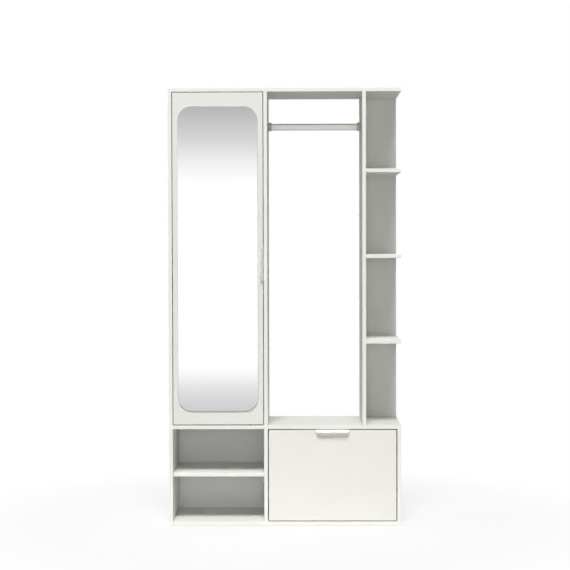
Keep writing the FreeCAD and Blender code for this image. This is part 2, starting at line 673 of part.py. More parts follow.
def rack_side(name, x):
    """Make a side of the shoe rack, with its pivot bore and the curved slot that limits the tilt."""
    body = new_body(f"rack_side_{name}", (x, "tilt_y", "tilt_z"))
    profile = outline(body, "YZ_Plane", (
        ("-flap_pivot_behind", "-rack_foot"), ("rack_deep", "-rack_foot"), ("rack_deep", "rack_rear_tall"),
        ("rack_nose", "rack_front_tall"), ("-flap_pivot_behind", "rack_front_tall")))
    pad(body, profile, "rack_side")
    bore(body, (x, "tilt_y", "tilt_z"), RIGHT, "pivot_radius + pivot_play", "rack_side")
    solid_before = volume(body)
    band = outline(body, "XY_Plane", (
        ("0", "stop_distance - stop_slot"), ("rack_side", "stop_distance - stop_slot"),
        ("rack_side", "stop_distance + stop_slot"), ("0", "stop_distance + stop_slot")))
    slot = body.newObject("PartDesign::Groove", f"{body.Name}_slot")
    slot.Profile = band
    slot.ReferenceAxis = (origin_part(body, "X_Axis"), [""])
    bind(slot, Angle="flap_open")
    if solid_before - volume(body) < NEAR:
        raise ValueError("the stop slot misses the rack side")
    for angle in ("0", "flap_open"):
        bore(body, (x, *stop_spot(angle)), RIGHT, "stop_slot", "rack_side")
    return keep(f"rack_side_{name}", body)


def volume(body):
    """Give a body's present volume."""
    doc.recompute()
    return body.Shape.Volume


def shoe_flap(fast):
    """Make the tip-out flap: its front and pull, and the two-row rack behind it on two pivots."""
    panel = new_body("flap_front", ("flap_left", "front", "flap_low"))
    slab(panel, ("flap_left", "front", "flap_low"),
         ("flap_right - flap_left", "board", "flap_top - flap_low"))
    soften(panel, "Fillet", "edge_round", on_plane("Y", 0))
    keep("flap_front", panel)
    middle = "(flap_left + flap_right) / 2"
    edge_pull("flap_handle", (middle, "front", "flap_top"), Rotation())
    for side in ("pull_screw_half", "-pull_screw_half"):
        at = (f"{middle} + {side}", "door_back + pull_sheet", "flap_top - pull_screw_drop")
        fast.screw(fast.flap, at, AHEAD, (panel,))
    sides = (rack_side("left", "rack_left"), rack_side("right", "rack_right - rack_side"))
    floor_top = "tilt_z - rack_foot + rack_sheet"
    sheets = (("rack_floor", "front + board", "rack_deep + flap_pivot_behind - rack_sheet",
               "tilt_z - rack_foot", "rack_sheet"),
              ("rack_partition", "tilt_y + partition_at", "rack_sheet", floor_top, "partition_tall"),
              ("rack_back", "tilt_y + rack_deep - rack_sheet", "rack_sheet", "tilt_z - rack_foot",
               "rack_foot + rack_rear_tall - rack_sheet"))
    walls = {}
    for name, y, deep, z, tall in sheets:
        walls[name] = board(name, ("rack_in_left", y, z), ("rack_inside", deep, tall))
    seats = (("rack_floor", "rack_screw_low", "-rack_foot + rack_sheet / 2"),
             ("rack_floor", "rack_screw_high", "-rack_foot + rack_sheet / 2"),
             ("rack_partition", "partition_at + rack_sheet / 2", "0"),
             ("rack_partition", "partition_at + rack_sheet / 2", "rack_screw_high"),
             ("rack_back", "rack_deep - rack_sheet / 2", "0"),
             ("rack_back", "rack_deep - rack_sheet / 2", "rack_screw_high"))
    rack_pegs = []
    for body, x, edge, into in ((sides[0], "rack_left", "rack_in_left", RIGHT),
                                (sides[1], "rack_right", "rack_right - rack_side", LEFT)):
        for wall, y, z in seats:
            at = (x, f"tilt_y + {y}", f"tilt_z + {z}")
            bore(body, at, into, "long_screw_radius + bore_play", "rack_side")
            bore(walls[wall], at, into, "long_screw_radius + bore_play", "long_screw_length + bore_end")
            fast.flap_long.append((at, facing(into)))
        core = shift((x, "door_back", "tilt_z"), into, "rack_side / 2")
        for z in ("-rack_screw_low", "rack_screw_high - rack_screw_low", "rack_front_tall - rack_screw_low"):
            at = shift(core, UP, z)
            bore(panel, at, AHEAD, "rack_dowel_radius + bore_play", "rack_dowel_in + bore_end")
            bore(body, at, BACK, "rack_dowel_radius + bore_play", "rack_dowel_out + bore_end")
            rack_pegs.append((at, facing(BACK)))
    peg = peg_master("rack_dowel", "rack_dowel_radius", "rack_dowel_in", "rack_dowel_out")
    copies("rack_dowels", peg, rack_pegs)


def flap_bearings(boards, fast):
    """Screw a flanged pivot and a stop stud to each wall of the flap compartment."""
    stud = new_body("stop_stud")
    rod(stud, HERE, UP, "stop_pin_radius", "rack_gap + rack_side - stop_short")
    rod(stud, HERE, DOWN, "stop_shank_radius", "stop_shank")
    studs = []
    for name, wall, x, out in (("left", boards["lower_divider"], "coat_in", RIGHT),
                               ("right", boards["right_lower_side"], "right_in", LEFT)):
        inward = tuple(-step for step in out)
        at = (x, "tilt_y", "tilt_z")
        pivot = new_body(f"flap_pivot_{name}", at)
        rod(pivot, at, out, "pivot_flange_radius", "pivot_flange")
        rod(pivot, at, out, "pivot_boss_radius", "rack_gap - rack_play")
        rod(pivot, at, out, "pivot_radius", "rack_gap + rack_side + pivot_past")
        keep(f"flap_pivot_{name}", pivot)
        for way in (UP, DOWN):
            ring = shift(shift(at, BACK, "pivot_screw_back"), way, "pivot_screw_half")
            fast.screw(fast.fitting, shift(ring, out, "pivot_flange"), inward, (wall,), (pivot,))
        spot = (x, *stop_spot("flap_open"))
        bore(wall, spot, inward, "stop_shank_radius + bore_play", "stop_shank + bore_end")
        studs.append((spot, facing(out)))
    copies("flap_stop_studs", stud, studs)


def wall_brackets(boards, back, fast):
    """Screw two angle brackets under the top board, each with a wall screw's hole through the sheet too."""
    for name, x in (("left", "left_in + bracket_from_side"), ("right", "door_div - bracket_from_side")):
        bracket = new_body(f"wall_bracket_{name}", (x, "rear", "top_low"))
        profile = outline(bracket, "YZ_Plane", (
            ("0", "0"), ("-bracket_leg", "0"), ("-bracket_leg", "-bracket_sheet"),
            ("-bracket_sheet", "-bracket_sheet"), ("-bracket_sheet", "-bracket_fall"),
            ("0", "-bracket_fall")))
        pad(bracket, profile, "bracket_wide", both_ways=True)
        anchor = (x, "rear - bracket_sheet", "top_low - anchor_fall")
        bore(bracket, anchor, BACK, "anchor_radius", "bracket_sheet")
        bore(back, anchor, BACK, "anchor_radius + anchor_room", "bracket_sheet + back_sheet")
        keep(f"wall_bracket_{name}", bracket)
        for way in (RIGHT, LEFT):
            leg = (x, "rear - bracket_screw_back", "top_low - bracket_sheet")
            at = shift(leg, way, "bracket_screw_half")
            fast.screw(fast.fitting, at, UP, (boards["top_board"],), (bracket,))


def floor_glides(boards):
    """Nail six low glides under the base board."""
    glide = new_body("floor_glide")
    rod(glide, HERE, DOWN, "glide_radius", "glide_height")
    soften(glide, "Fillet", "glide_round", on_plane("Z", -number("glide_height")))
    rod(glide, HERE, UP, "glide_nail_radius", "glide_nail")
    spots = []
    for x in ("left + glide_from_side", "0", "right - glide_from_side"):
        for y in ("front + glide_from_edge", "rear - glide_from_edge"):
            at = (x, y, "base_low")
            bore(boards["base_board"], at, UP, "glide_nail_radius + bore_play", "glide_nail + bore_end")
            spots.append((at, Rotation()))
    copies("floor_glides", glide, spots)


def main():
    """Build every sub-part, test it and write it out."""
    fill_sheet()
    fast = Fasteners()
    boards = carcass(fast)
    back = back_sheets(boards, fast)
    shelves(boards, fast)
    hanging_rail(boards, fast)
    panel = mirror_door(fast)
    hinges(panel, boards, fast)
    door_stops(boards)
    shoe_flap(fast)
    flap_bearings(boards, fast)
    wall_brackets(boards, back, fast)
    floor_glides(boards)
    screw = screw_master("screw", "screw_radius", "screw_length")
    long_screw = screw_master("long_screw", "long_screw_radius", "long_screw_length")
    copies("cam_discs", cam_master(), fast.cams)
    copies("cam_bolts", bolt_master(), fast.cams)
    copies("dowels", peg_master("dowel", "dowel_radius", "dowel_in", "dowel_out"), fast.dowels)
    shelf_pin = peg_master("shelf_pin", "shelf_pin_radius", "shelf_pin_in", "shelf_pin_out")
    copies("shelf_pins", shelf_pin, fast.pins)
    copies("back_sheet_nails", nail_master(), fast.nails)
    copies("fitting_screws", screw, fast.fitting)
    copies("door_screws", screw, fast.door)
    copies("flap_screws", screw, fast.flap)
    copies("rack_screws", long_screw, fast.flap_long)
    copies("end_back_screws", long_screw, fast.long)
    write_out()


def write_out():
    """Check the document and every sub-part, then write one STEP file for each."""
    doc.recompute()
    failed = [item.Name for item in doc.Objects if {"Invalid", "Error"} & set(item.State)]
    if failed:
        raise ValueError(f"features failed: {failed}")
    for name, item in pieces.items():
        if item.Shape.isNull() or not item.Shape.isValid() or not item.Shape.Solids:
            raise ValueError(f"{name} has no valid solid")
    os.makedirs("parts", exist_ok=True)
    for name, item in pieces.items():
        item.Shape.exportStep(f"parts/{name}.step")
    print(f"{len(pieces)} sub-parts written")


main()
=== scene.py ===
"""Looks of a hall wardrobe with a mirror door, a coat bay, end shelves, a shoe niche and a shoe flap.

Metres, +Z up, front towards -Y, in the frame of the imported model.
"""
from __future__ import annotations

import json
import logging
import math
from dataclasses import dataclass, field
from enum import Enum
from typing import Iterable, Sequence

import bmesh
import bpy
from mathutils import Euler, Matrix, Vector

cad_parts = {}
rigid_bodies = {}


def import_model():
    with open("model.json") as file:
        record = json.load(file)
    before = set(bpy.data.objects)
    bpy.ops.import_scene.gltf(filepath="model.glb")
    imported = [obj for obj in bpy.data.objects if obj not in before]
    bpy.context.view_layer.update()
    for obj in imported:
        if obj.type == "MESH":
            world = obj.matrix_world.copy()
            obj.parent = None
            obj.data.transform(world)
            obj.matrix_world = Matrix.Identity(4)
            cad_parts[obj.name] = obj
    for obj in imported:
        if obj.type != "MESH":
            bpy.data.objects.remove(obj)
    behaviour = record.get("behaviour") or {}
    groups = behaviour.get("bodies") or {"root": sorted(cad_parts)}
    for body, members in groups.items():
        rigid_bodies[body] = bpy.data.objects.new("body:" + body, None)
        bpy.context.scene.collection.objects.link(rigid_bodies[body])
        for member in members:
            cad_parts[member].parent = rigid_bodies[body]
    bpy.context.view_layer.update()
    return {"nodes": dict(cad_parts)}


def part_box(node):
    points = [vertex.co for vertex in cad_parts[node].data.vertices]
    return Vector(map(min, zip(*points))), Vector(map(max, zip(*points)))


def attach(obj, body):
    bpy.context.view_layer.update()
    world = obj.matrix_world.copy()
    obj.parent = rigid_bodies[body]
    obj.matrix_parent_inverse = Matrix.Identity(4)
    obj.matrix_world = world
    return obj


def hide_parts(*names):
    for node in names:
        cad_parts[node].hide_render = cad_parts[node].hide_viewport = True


LOG = logging.getLogger("wardrobe")
MM = 0.001
FAR = 10.0
END_SHELVES = ("end_shelf_low", "end_shelf_mid", "end_shelf_high")

Colour = tuple[float, float, float]
Point = tuple[float, float]


class Effect(Enum):
    """Surface effects that more than one finish uses."""

    MOTTLE = "mottle"
    GRAIN = "grain"
    # Sharp edges that finishes paint lighter: wear, and a painted highlight.
    WORN_EDGE = "worn_edge"
    DUST = "dust"
    EDGING = "edging"
    CHIPS = "chips"
    FACING = "facing"
    STREAKS = "streaks"


class Body(Enum):
    """The bodies of the frame that pieces ride on."""

    CARCASS = "carcass"
    DOOR = "mirror_door"
    FLAP = "shoe_flap"


class MirrorFace(Enum):
    """The faces of the mirror plate, numbered as its finishes are."""

    SILVER = 0
    BEVEL = 1
    RIM = 2
    BACK = 3


class Graph:
    """A node tree that is being filled, with short calls to add and join nodes."""

    def __init__(self, tree: bpy.types.NodeTree) -> None:
        """Wrap a tree and empty it.

        Args:
            tree: The tree of a material, a world or a group.
        """
        self.tree = tree
        self.tree.nodes.clear()

    def add(self, kind: str, inputs: dict | None = None, **settings: object) -> bpy.types.Node:
        """Add one node.

        Args:
            kind: The node's type, without its ShaderNode prefix.
            inputs: A value or another node's output for each named or numbered socket.
            settings: Properties of the node.

        Returns:
            The new node.
        """
        node = self.tree.nodes.new("ShaderNode" + kind)
        for name, value in settings.items():
            setattr(node, name, value)
        for key, value in (inputs or {}).items():
            self.feed(node.inputs[key], value)
        return node

    def feed(self, socket: bpy.types.NodeSocket, value: object) -> None:
        """Join an output to a socket, or set the socket's own value.

        Args:
            socket: The input socket.
            value: Another node's output, a number, a vector or a colour.
        """
        if isinstance(value, bpy.types.NodeSocket):
            self.tree.links.new(value, socket)
        elif socket.type == "RGBA" and len(value) == 3:
            socket.default_value = (*value, 1.0)
        else:
            socket.default_value = value

    def math(self, operation: str, *values: object, clamp: bool = False) -> bpy.types.NodeSocket:
        """Work out a number from one to three values.

        Args:
            operation: The operation's Blender name.
            values: Numbers or outputs.
            clamp: Whether the result is kept between 0 and 1.

        Returns:
            The result.
        """
        node = self.add("Math", dict(enumerate(values)), operation=operation, use_clamp=clamp)
        return node.outputs[0]

    def ramp(self, value: object, start: float, end: float, low: float = 0.0, high: float = 1.0,
             smooth: bool = True) -> bpy.types.NodeSocket:
        """Map a value from one range to another.

        Args:
            value: The number or output to map.
            start: Where the result is low.
            end: Where the result is high.
            low: The result at start.
            high: The result at end.
            smooth: Whether the result eases in and out.

        Returns:
            The mapped value.
        """
        node = self.add("MapRange", {"Value": value, 1: start, 2: end, 3: low, 4: high},
                        interpolation_type="SMOOTHSTEP" if smooth else "LINEAR")
        return node.outputs[0]

    def between(self, share: object, low: float, high: float) -> bpy.types.NodeSocket:
        """Give the value that lies between two others at a share from 0 to 1."""
        return self.ramp(share, 0.0, 1.0, low, high)

    def blend(self, share: object, first: object, second: object) -> bpy.types.NodeSocket:
        """Mix two colours.

        Args:
            share: How much of the second colour shows.
            first: A colour or output.
            second: A colour or output.

        Returns:
            The mixed colour.
        """
        node = self.add("Mix", {0: share, 6: first, 7: second}, data_type="RGBA")
        return node.outputs[2]

    def object_point(self) -> bpy.types.NodeSocket:
        """Give the point of the surface in the object's own frame."""
        return self.add("TexCoord").outputs["Object"]

    def noise(self, scale: object, detail: float = 3.0, rough: float = 0.55,
              stretch: object = (1, 1, 1), point: bpy.types.NodeSocket | None = None
              ) -> bpy.types.NodeSocket:
        """Add noise in the object's own frame.

        Args:
            scale: Features in a metre.
            detail: Number of finer layers.
            rough: Share of each finer layer.
            stretch: Scale along each axis, a vector or output.
            point: Where the noise is read, the surface point if left out.

        Returns:
            The noise, about 0.5 on average.
        """
        at = self.add("Mapping", {"Vector": point or self.object_point(), "Scale": stretch}).outputs[0]
        node = self.add("TexNoise", {"Vector": at, "Scale": scale, "Detail": detail, "Roughness": rough})
        return node.outputs["Fac"]


class EffectShelf:
    """Builds each shared effect once, as a node group, and places it in a material."""

    chip_dark: Colour = (0.30, 0.18, 0.09)
    chip_pale: Colour = (0.60, 0.43, 0.26)
    chip_glue: Colour = (0.22, 0.13, 0.065)
    seed_spread: float = 37.0

    def __init__(self) -> None:
        """Start with no effect built."""
        self.built: dict[Effect, bpy.types.NodeTree] = {}
        self.makers = {
            Effect.MOTTLE: self._mottle, Effect.GRAIN: self._grain, Effect.WORN_EDGE: self._edge_wear_and_highlight,
            Effect.DUST: self._dust, Effect.EDGING: self._edging, Effect.CHIPS: self._chips,
            Effect.FACING: self._facing, Effect.STREAKS: self._streaks,
        }

    def place(self, graph: Graph, effect: Effect, **values: object) -> bpy.types.NodeOutputs:
        """Place an effect in a material.

        Args:
            graph: The material's tree.
            effect: Which effect.
            values: Values of the group's inputs, by name.

        Returns:
            The group's outputs.
        """
        if effect not in self.built:
            self.built[effect] = self.makers[effect]()
        node = graph.add("Group", node_tree=self.built[effect])
        for name, value in values.items():
            graph.feed(node.inputs[name], value)
        return node.outputs

    @staticmethod
    def _start(name: str, inputs: dict[str, object], outputs: dict[str, str]
               ) -> tuple[Graph, bpy.types.NodeOutputs, bpy.types.NodeInputs]:
        """Start a group with its sockets.

        Args:
            name: The group's name.
            inputs: The default of each input: a number or a vector.
            outputs: The kind of each output: Float, Color or Vector.

        Returns:
            The graph, what the group is given, and what it gives.
        """
        tree = bpy.data.node_groups.new(name, "ShaderNodeTree")
        for label, value in inputs.items():
            kind = "NodeSocketVector" if isinstance(value, tuple) else "NodeSocketFloat"
            tree.interface.new_socket(label, in_out="INPUT", socket_type=kind).default_value = value
        for label, kind in outputs.items():
            tree.interface.new_socket(label, in_out="OUTPUT", socket_type="NodeSocket" + kind)
        graph = Graph(tree)
        given = tree.nodes.new("NodeGroupInput").outputs
        gives = tree.nodes.new("NodeGroupOutput").inputs
        return graph, given, gives

    def _mottle(self) -> bpy.types.NodeTree:
        """Make slow cloudy variation that differs from piece to piece.

        Returns:
            The group.
        """
        graph, given, gives = self._start("mottle", {"Scale": 4.0}, {"Value": "Float"})
        seed = graph.math("MULTIPLY", graph.add("ObjectInfo").outputs["Random"], self.seed_spread)
        offset = graph.add("CombineXYZ", {0: seed, 1: seed, 2: seed}).outputs[0]
        point = graph.add("VectorMath", {0: graph.object_point(), 1: offset}).outputs[0]
        cloud = graph.noise(given["Scale"], detail=4.0, point=point)
        graph.feed(gives["Value"], graph.ramp(cloud, 0.3, 0.7))
        return graph.tree

    def _grain(self) -> bpy.types.NodeTree:
        """Make the fine pearly grain of a pressed, moulded or sprayed surface.

        Returns:
            The group.
        """
        graph, given, gives = self._start("grain", {"Scale": 1200.0}, {"Height": "Float"})
        fine = graph.noise(given["Scale"], detail=2.0, rough=0.6)
        coarse = graph.noise(graph.math("MULTIPLY", given["Scale"], 0.3), detail=1.0)
        height = graph.math("ADD", graph.math("MULTIPLY", fine, 0.7), graph.math("MULTIPLY", coarse, 0.3))
        graph.feed(gives["Height"], height)
        return graph.tree

    def _edge_wear_and_highlight(self) -> bpy.types.NodeTree:
        """Find the sharp edges, broken up by noise, and round their shading; finishes use the mask to paint
        edge wear and a painted highlight.

        Returns:
            The group.
        """
        graph, given, gives = self._start("worn_edge", {"Radius": 0.0008, "Breakup": 60.0},
                                          {"Mask": "Float", "Normal": "Vector"})
        soft = graph.add("Bevel", {"Radius": given["Radius"]}, samples=6).outputs[0]
        plain = graph.add("NewGeometry").outputs["Normal"]
        same = graph.add("VectorMath", {0: soft, 1: plain}, operation="DOT_PRODUCT").outputs["Value"]
        edge = graph.ramp(same, 0.995, 0.9)
        broken = graph.ramp(graph.noise(given["Breakup"], detail=5.0, rough=0.65), 0.42, 0.68)
        # The mask marks where finishes paint edge wear and a painted highlight.
        graph.feed(gives["Mask"], graph.math("MULTIPLY", edge, broken))
        graph.feed(gives["Normal"], soft)
        return graph.tree

    def _dust(self) -> bpy.types.NodeTree:
        """Settle a thin uneven film on faces that look up.

        Returns:
            The group.
        """
        graph, given, gives = self._start("dust", {"Amount": 0.1}, {"Mask": "Float"})
        normal = graph.add("TexCoord").outputs["Normal"]
        up = graph.ramp(graph.add("SeparateXYZ", {0: normal}).outputs["Z"], 0.6, 0.95)
        patchy = graph.ramp(graph.noise(9.0, detail=6.0, rough=0.6), 0.3, 0.75)
        settled = graph.math("MULTIPLY", up, patchy)
        graph.feed(gives["Mask"], graph.math("MULTIPLY", settled, given["Amount"]))
        return graph.tree

    def _edging(self) -> bpy.types.NodeTree:
        """Mark the strip of edging on a board's rim, and the fine seam beside it.

        Returns:
            The group.
        """
        graph, given, gives = self._start(
            "edging", {"Low": (0.0, 0.0, 0.0), "High": (1.0, 1.0, 1.0), "Strip": 0.001, "Line": 0.00015},
            {"Band": "Float", "Seam": "Float"})
        point = graph.object_point()
        below = graph.add("VectorMath", {0: point, 1: given["Low"]}, operation="SUBTRACT").outputs[0]
        above = graph.add("VectorMath", {0: given["High"], 1: point}, operation="SUBTRACT").outputs[0]
        near = graph.add("VectorMath", {0: below, 1: above}, operation="MINIMUM").outputs[0]
        axes = graph.add("SeparateXYZ", {0: near}).outputs
        inset = graph.math("MINIMUM", graph.math("MINIMUM", axes[0], axes[1]), axes[2])
        away = graph.math("SUBTRACT", inset, given["Strip"])
        graph.feed(gives["Band"], graph.math("LESS_THAN", away, 0.0))
        off = graph.math("DIVIDE", graph.math("ABSOLUTE", away), given["Line"])
        graph.feed(gives["Seam"], graph.ramp(off, 1.0, 0.0))
        return graph.tree

    def _chips(self) -> bpy.types.NodeTree:
        """Make the pressed chips of a bare board edge.

        Returns:
            The group.
        """
        graph, given, gives = self._start("chips", {"Scale": 320.0}, {"Color": "Color", "Height": "Float"})
        cells = graph.add("TexVoronoi", {"Vector": graph.object_point(), "Scale": given["Scale"]}).outputs
        shade = graph.add("SeparateColor", {0: cells["Color"]}).outputs[0]
        fibre = graph.noise(given["Scale"], detail=5.0, rough=0.7, stretch=(0.4, 0.4, 2.2))
        tan = graph.blend(shade, self.chip_dark, self.chip_pale)
        graph.feed(gives["Color"], graph.blend(graph.ramp(fibre, 0.35, 0.7), self.chip_glue, tan))
        graph.feed(gives["Height"], graph.math("ADD", cells["Distance"], fibre))
        return graph.tree

    def _facing(self) -> bpy.types.NodeTree:
        """Tell which way a face looks in the piece's own frame.

        Returns:
            The group.
        """
        graph, _, gives = self._start("facing", {}, {"Front": "Float", "Rear": "Float", "Up": "Float"})
        axes = graph.add("SeparateXYZ", {0: graph.add("TexCoord").outputs["Normal"]}).outputs
        graph.feed(gives["Front"], graph.math("LESS_THAN", axes["Y"], -0.9))
        graph.feed(gives["Rear"], graph.math("GREATER_THAN", axes["Y"], 0.9))
        graph.feed(gives["Up"], graph.ramp(axes["Z"], 0.3, 0.9))
        return graph.tree

    def _streaks(self) -> bpy.types.NodeTree:
        """Draw fine lines along one axis, as from brushing, drawing or rubbing.

        Returns:
            The group.
        """
        graph, given, gives = self._start("streaks", {"Scale": 300.0, "Stretch": (0.02, 1.0, 1.0)},
                                          {"Value": "Float"})
        lines = graph.noise(given["Scale"], detail=4.0, rough=0.6, stretch=given["Stretch"])
        graph.feed(gives["Value"], graph.ramp(lines, 0.3, 0.7))
        return graph.tree


EFFECTS = EffectShelf()


@dataclass(frozen=True)
class Finish:
    """What every finish has: a name, and a way to start its material."""

    name: str

    def start(self, **sockets: object) -> tuple[bpy.types.Material, Graph, bpy.types.NodeInputs]:
        """Start a material with one surface shader.

        Args:
            sockets: Plain values of the shader, by socket name with underscores.

        Returns:
            The material, its graph and the shader's inputs.
        """
        material = bpy.data.materials.new(self.name)
        material.use_nodes = True
        graph = Graph(material.node_tree)
        shader = graph.add("BsdfPrincipled")
        for name, value in sockets.items():
            graph.feed(shader.inputs[name.replace("_", " ")], value)
        graph.add("OutputMaterial", {"Surface": shader.outputs[0]})
        return material, graph, shader.inputs

    def material(self) -> bpy.types.Material:
        """Make the material, which each kind of finish does in its own way."""
        raise NotImplementedError

    @staticmethod
    def relief(graph: Graph, height: bpy.types.NodeSocket, depth: float, strength: float,
               normal: bpy.types.NodeSocket | None = None) -> bpy.types.NodeSocket:
        """Turn a height into a shading normal.

        Args:
            graph: The material's tree.
            height: The height, from 0 to 1.
            depth: How deep the height is, in metres.
            strength: How much of it shows.
            normal: The normal to start from, the surface's own if left out.

        Returns:
            The normal.
        """
        inputs = {"Height": height, "Distance": depth, "Strength": strength}
        if normal is not None:
            inputs["Normal"] = normal
        return graph.add("Bump", inputs).outputs[0]


@dataclass(frozen=True)
class BoardFinish(Finish):
    """Off-white melamine on chipboard, with glued edging and, where it is hidden, a bare rear edge."""

    low: Sequence[float] = (-FAR, -FAR, -FAR)
    high: Sequence[float] = (FAR, FAR, FAR)
    bare_rear: bool = False
    face: Colour = (0.800, 0.800, 0.760)
    shade: Colour = (0.780, 0.779, 0.738)
    edging: Colour = (0.848, 0.848, 0.810)
    seam: Colour = (0.50, 0.49, 0.45)
    # Lighter colour on the sharp edges: wear, and a painted highlight.
    edge_highlight_and_wear: Colour = (0.86, 0.86, 0.83)
    dust: Colour = (0.72, 0.71, 0.68)
    torn_depth: float = 6.0

    def material(self) -> bpy.types.Material:
        """Make the material.

        Returns:
            The material.
        """
        material, graph, shader = self.start(Specular_IOR_Level=0.2)
        cloud = EFFECTS.place(graph, Effect.MOTTLE, Scale=3.0)["Value"]
        band = EFFECTS.place(graph, Effect.EDGING, Low=self.low, High=self.high)
        edge = EFFECTS.place(graph, Effect.WORN_EDGE, Radius=0.7 * MM, Breakup=45.0)
        film = EFFECTS.place(graph, Effect.DUST, Amount=0.10)["Mask"]
        colour = graph.blend(cloud, self.shade, self.face)
        colour = graph.blend(band["Band"], colour, self.edging)
        colour = graph.blend(graph.math("MULTIPLY", band["Seam"], 0.45), colour, self.seam)
        # Sharp edges painted lighter: wear, and a painted highlight where light catches them.
        colour = graph.blend(graph.math("MULTIPLY", edge["Mask"], 0.5), colour, self.edge_highlight_and_wear)
        colour = graph.blend(film, colour, self.dust)
        height = EFFECTS.place(graph, Effect.GRAIN, Scale=800.0)["Height"]
        rough = graph.between(cloud, 0.52, 0.60)
        rough = graph.math("ADD", rough, graph.math("MULTIPLY", film, 1.2))
        if self.bare_rear:
            rear = EFFECTS.place(graph, Effect.FACING)["Rear"]
            core = EFFECTS.place(graph, Effect.CHIPS, Scale=330.0)
            colour = graph.blend(rear, colour, core["Color"])
            rough = graph.math("ADD", rough, graph.math("MULTIPLY", rear, 0.35), clamp=True)
            torn = graph.math("MULTIPLY", graph.math("MULTIPLY", core["Height"], self.torn_depth), rear)
            height = graph.math("ADD", height, torn)
        graph.feed(shader["Base Color"], colour)
        graph.feed(shader["Roughness"], rough)
        normal = self.relief(graph, height, depth=0.12 * MM, strength=0.45, normal=edge["Normal"])
        graph.feed(shader["Normal"], normal)
        return material


@dataclass(frozen=True)
class HardboardFinish(Finish):
    """Thin hardboard, lacquered white inside and bare brown fibre behind."""

    lacquer: Colour = (0.850, 0.850, 0.870)
    lacquer_shade: Colour = (0.828, 0.828, 0.848)
    fibre: Colour = (0.305, 0.190, 0.105)
    fibre_dark: Colour = (0.185, 0.108, 0.056)
    fleck: Colour = (0.46, 0.32, 0.19)

    def material(self) -> bpy.types.Material:
        """Make the material.

        Returns:
            The material.
        """
        material, graph, shader = self.start()
        inside = EFFECTS.place(graph, Effect.FACING)["Front"]
        cloud = EFFECTS.place(graph, Effect.MOTTLE, Scale=5.0)["Value"]
        fibres = graph.noise(420.0, detail=6.0, rough=0.7)
        flecks = graph.ramp(graph.noise(900.0, detail=2.0), 0.62, 0.74)
        brown = graph.blend(graph.ramp(fibres, 0.3, 0.72), self.fibre_dark, self.fibre)
        brown = graph.blend(graph.math("MULTIPLY", flecks, 0.6), brown, self.fleck)
        white = graph.blend(cloud, self.lacquer_shade, self.lacquer)
        peel = EFFECTS.place(graph, Effect.GRAIN, Scale=700.0)["Height"]
        rear_relief = graph.math("MULTIPLY", fibres, graph.math("SUBTRACT", 1.0, inside))
        height = graph.math("ADD", graph.math("MULTIPLY", peel, 0.4), rear_relief)
        graph.feed(shader["Base Color"], graph.blend(inside, brown, white))
        graph.feed(shader["Roughness"], graph.between(inside, 0.86, 0.5))
        graph.feed(shader["Normal"], self.relief(graph, height, depth=0.1 * MM, strength=0.4))
        return material


@dataclass(frozen=True)
class CoatedMetalFinish(Finish):
    """Powder or lacquer on bent sheet or tube, thin on the edges and rubbed where hands or hangers go."""

    coat: Colour = (0.885, 0.885, 0.855)
    coat_shade: Colour = (0.860, 0.860, 0.830)
    bare: Colour = (0.62, 0.62, 0.60)
    rough: float = 0.36
    peel: float = 900.0
    rubbed: float = 0.0
    flake: float = 0.0

    def material(self) -> bpy.types.Material:
        """Make the material.

        Returns:
            The material.
        """
        material, graph, shader = self.start(Specular_IOR_Level=0.5, Metallic=self.flake)
        cloud = EFFECTS.place(graph, Effect.MOTTLE, Scale=14.0)["Value"]
        edge = EFFECTS.place(graph, Effect.WORN_EDGE, Radius=0.4 * MM, Breakup=140.0)
        colour = graph.blend(cloud, self.coat_shade, self.coat)
        wear = graph.math("MULTIPLY", edge["Mask"], 0.25)
        if self.rubbed:
            up = EFFECTS.place(graph, Effect.FACING)["Up"]
            lines = EFFECTS.place(graph, Effect.STREAKS, Scale=260.0, Stretch=(0.06, 1.0, 1.0))["Value"]
            rubs = graph.math("MULTIPLY", graph.math("MULTIPLY", up, lines), self.rubbed)
            wear = graph.math("MAXIMUM", wear, rubs)
        graph.feed(shader["Base Color"], graph.blend(wear, colour, self.bare))
        spread = graph.between(cloud, self.rough - 0.04, self.rough + 0.05)
        graph.feed(shader["Roughness"], graph.math("SUBTRACT", spread, graph.math("MULTIPLY", wear, 0.12)))
        if not self.flake:
            graph.feed(shader["Metallic"], graph.math("MULTIPLY", wear, 0.5))
        peel = EFFECTS.place(graph, Effect.GRAIN, Scale=self.peel)["Height"]
        normal = self.relief(graph, peel, depth=0.05 * MM, strength=0.25, normal=edge["Normal"])
        graph.feed(shader["Normal"], normal)
        return material


@dataclass(frozen=True)
class PlatedFinish(Finish):
    """Nickel, zinc or die-cast metal with fine drawing lines and a dull film in patches."""

    metal: Colour = (0.62, 0.61, 0.58)
    dull: Colour = (0.50, 0.49, 0.46)
    # Brighter colour on the sharp edges: polished wear, and a painted highlight.
    edge_polish_and_highlight: Colour = (0.75, 0.74, 0.72)
    rough: float = 0.28
    lines: float = 700.0

    def material(self) -> bpy.types.Material:
        """Make the material.

        Returns:
            The material.
        """
        material, graph, shader = self.start(Metallic=1.0)
        cloud = EFFECTS.place(graph, Effect.MOTTLE, Scale=60.0)["Value"]
        drawn = EFFECTS.place(graph, Effect.STREAKS, Scale=self.lines, Stretch=(1.0, 0.08, 1.0))["Value"]
        edge = EFFECTS.place(graph, Effect.WORN_EDGE, Radius=0.3 * MM, Breakup=300.0)
        colour = graph.blend(cloud, self.dull, self.metal)
        # Sharp edges painted brighter: polished wear, and a painted highlight.
        colour = graph.blend(graph.math("MULTIPLY", edge["Mask"], 0.5), colour, self.edge_polish_and_highlight)
        graph.feed(shader["Base Color"], colour)
        rough = graph.math("ADD", graph.between(cloud, self.rough + 0.1, self.rough - 0.04),
                           graph.math("MULTIPLY", drawn, 0.06))
        graph.feed(shader["Roughness"], rough)
        normal = self.relief(graph, drawn, depth=0.02 * MM, strength=0.2, normal=edge["Normal"])
        graph.feed(shader["Normal"], normal)
        return material


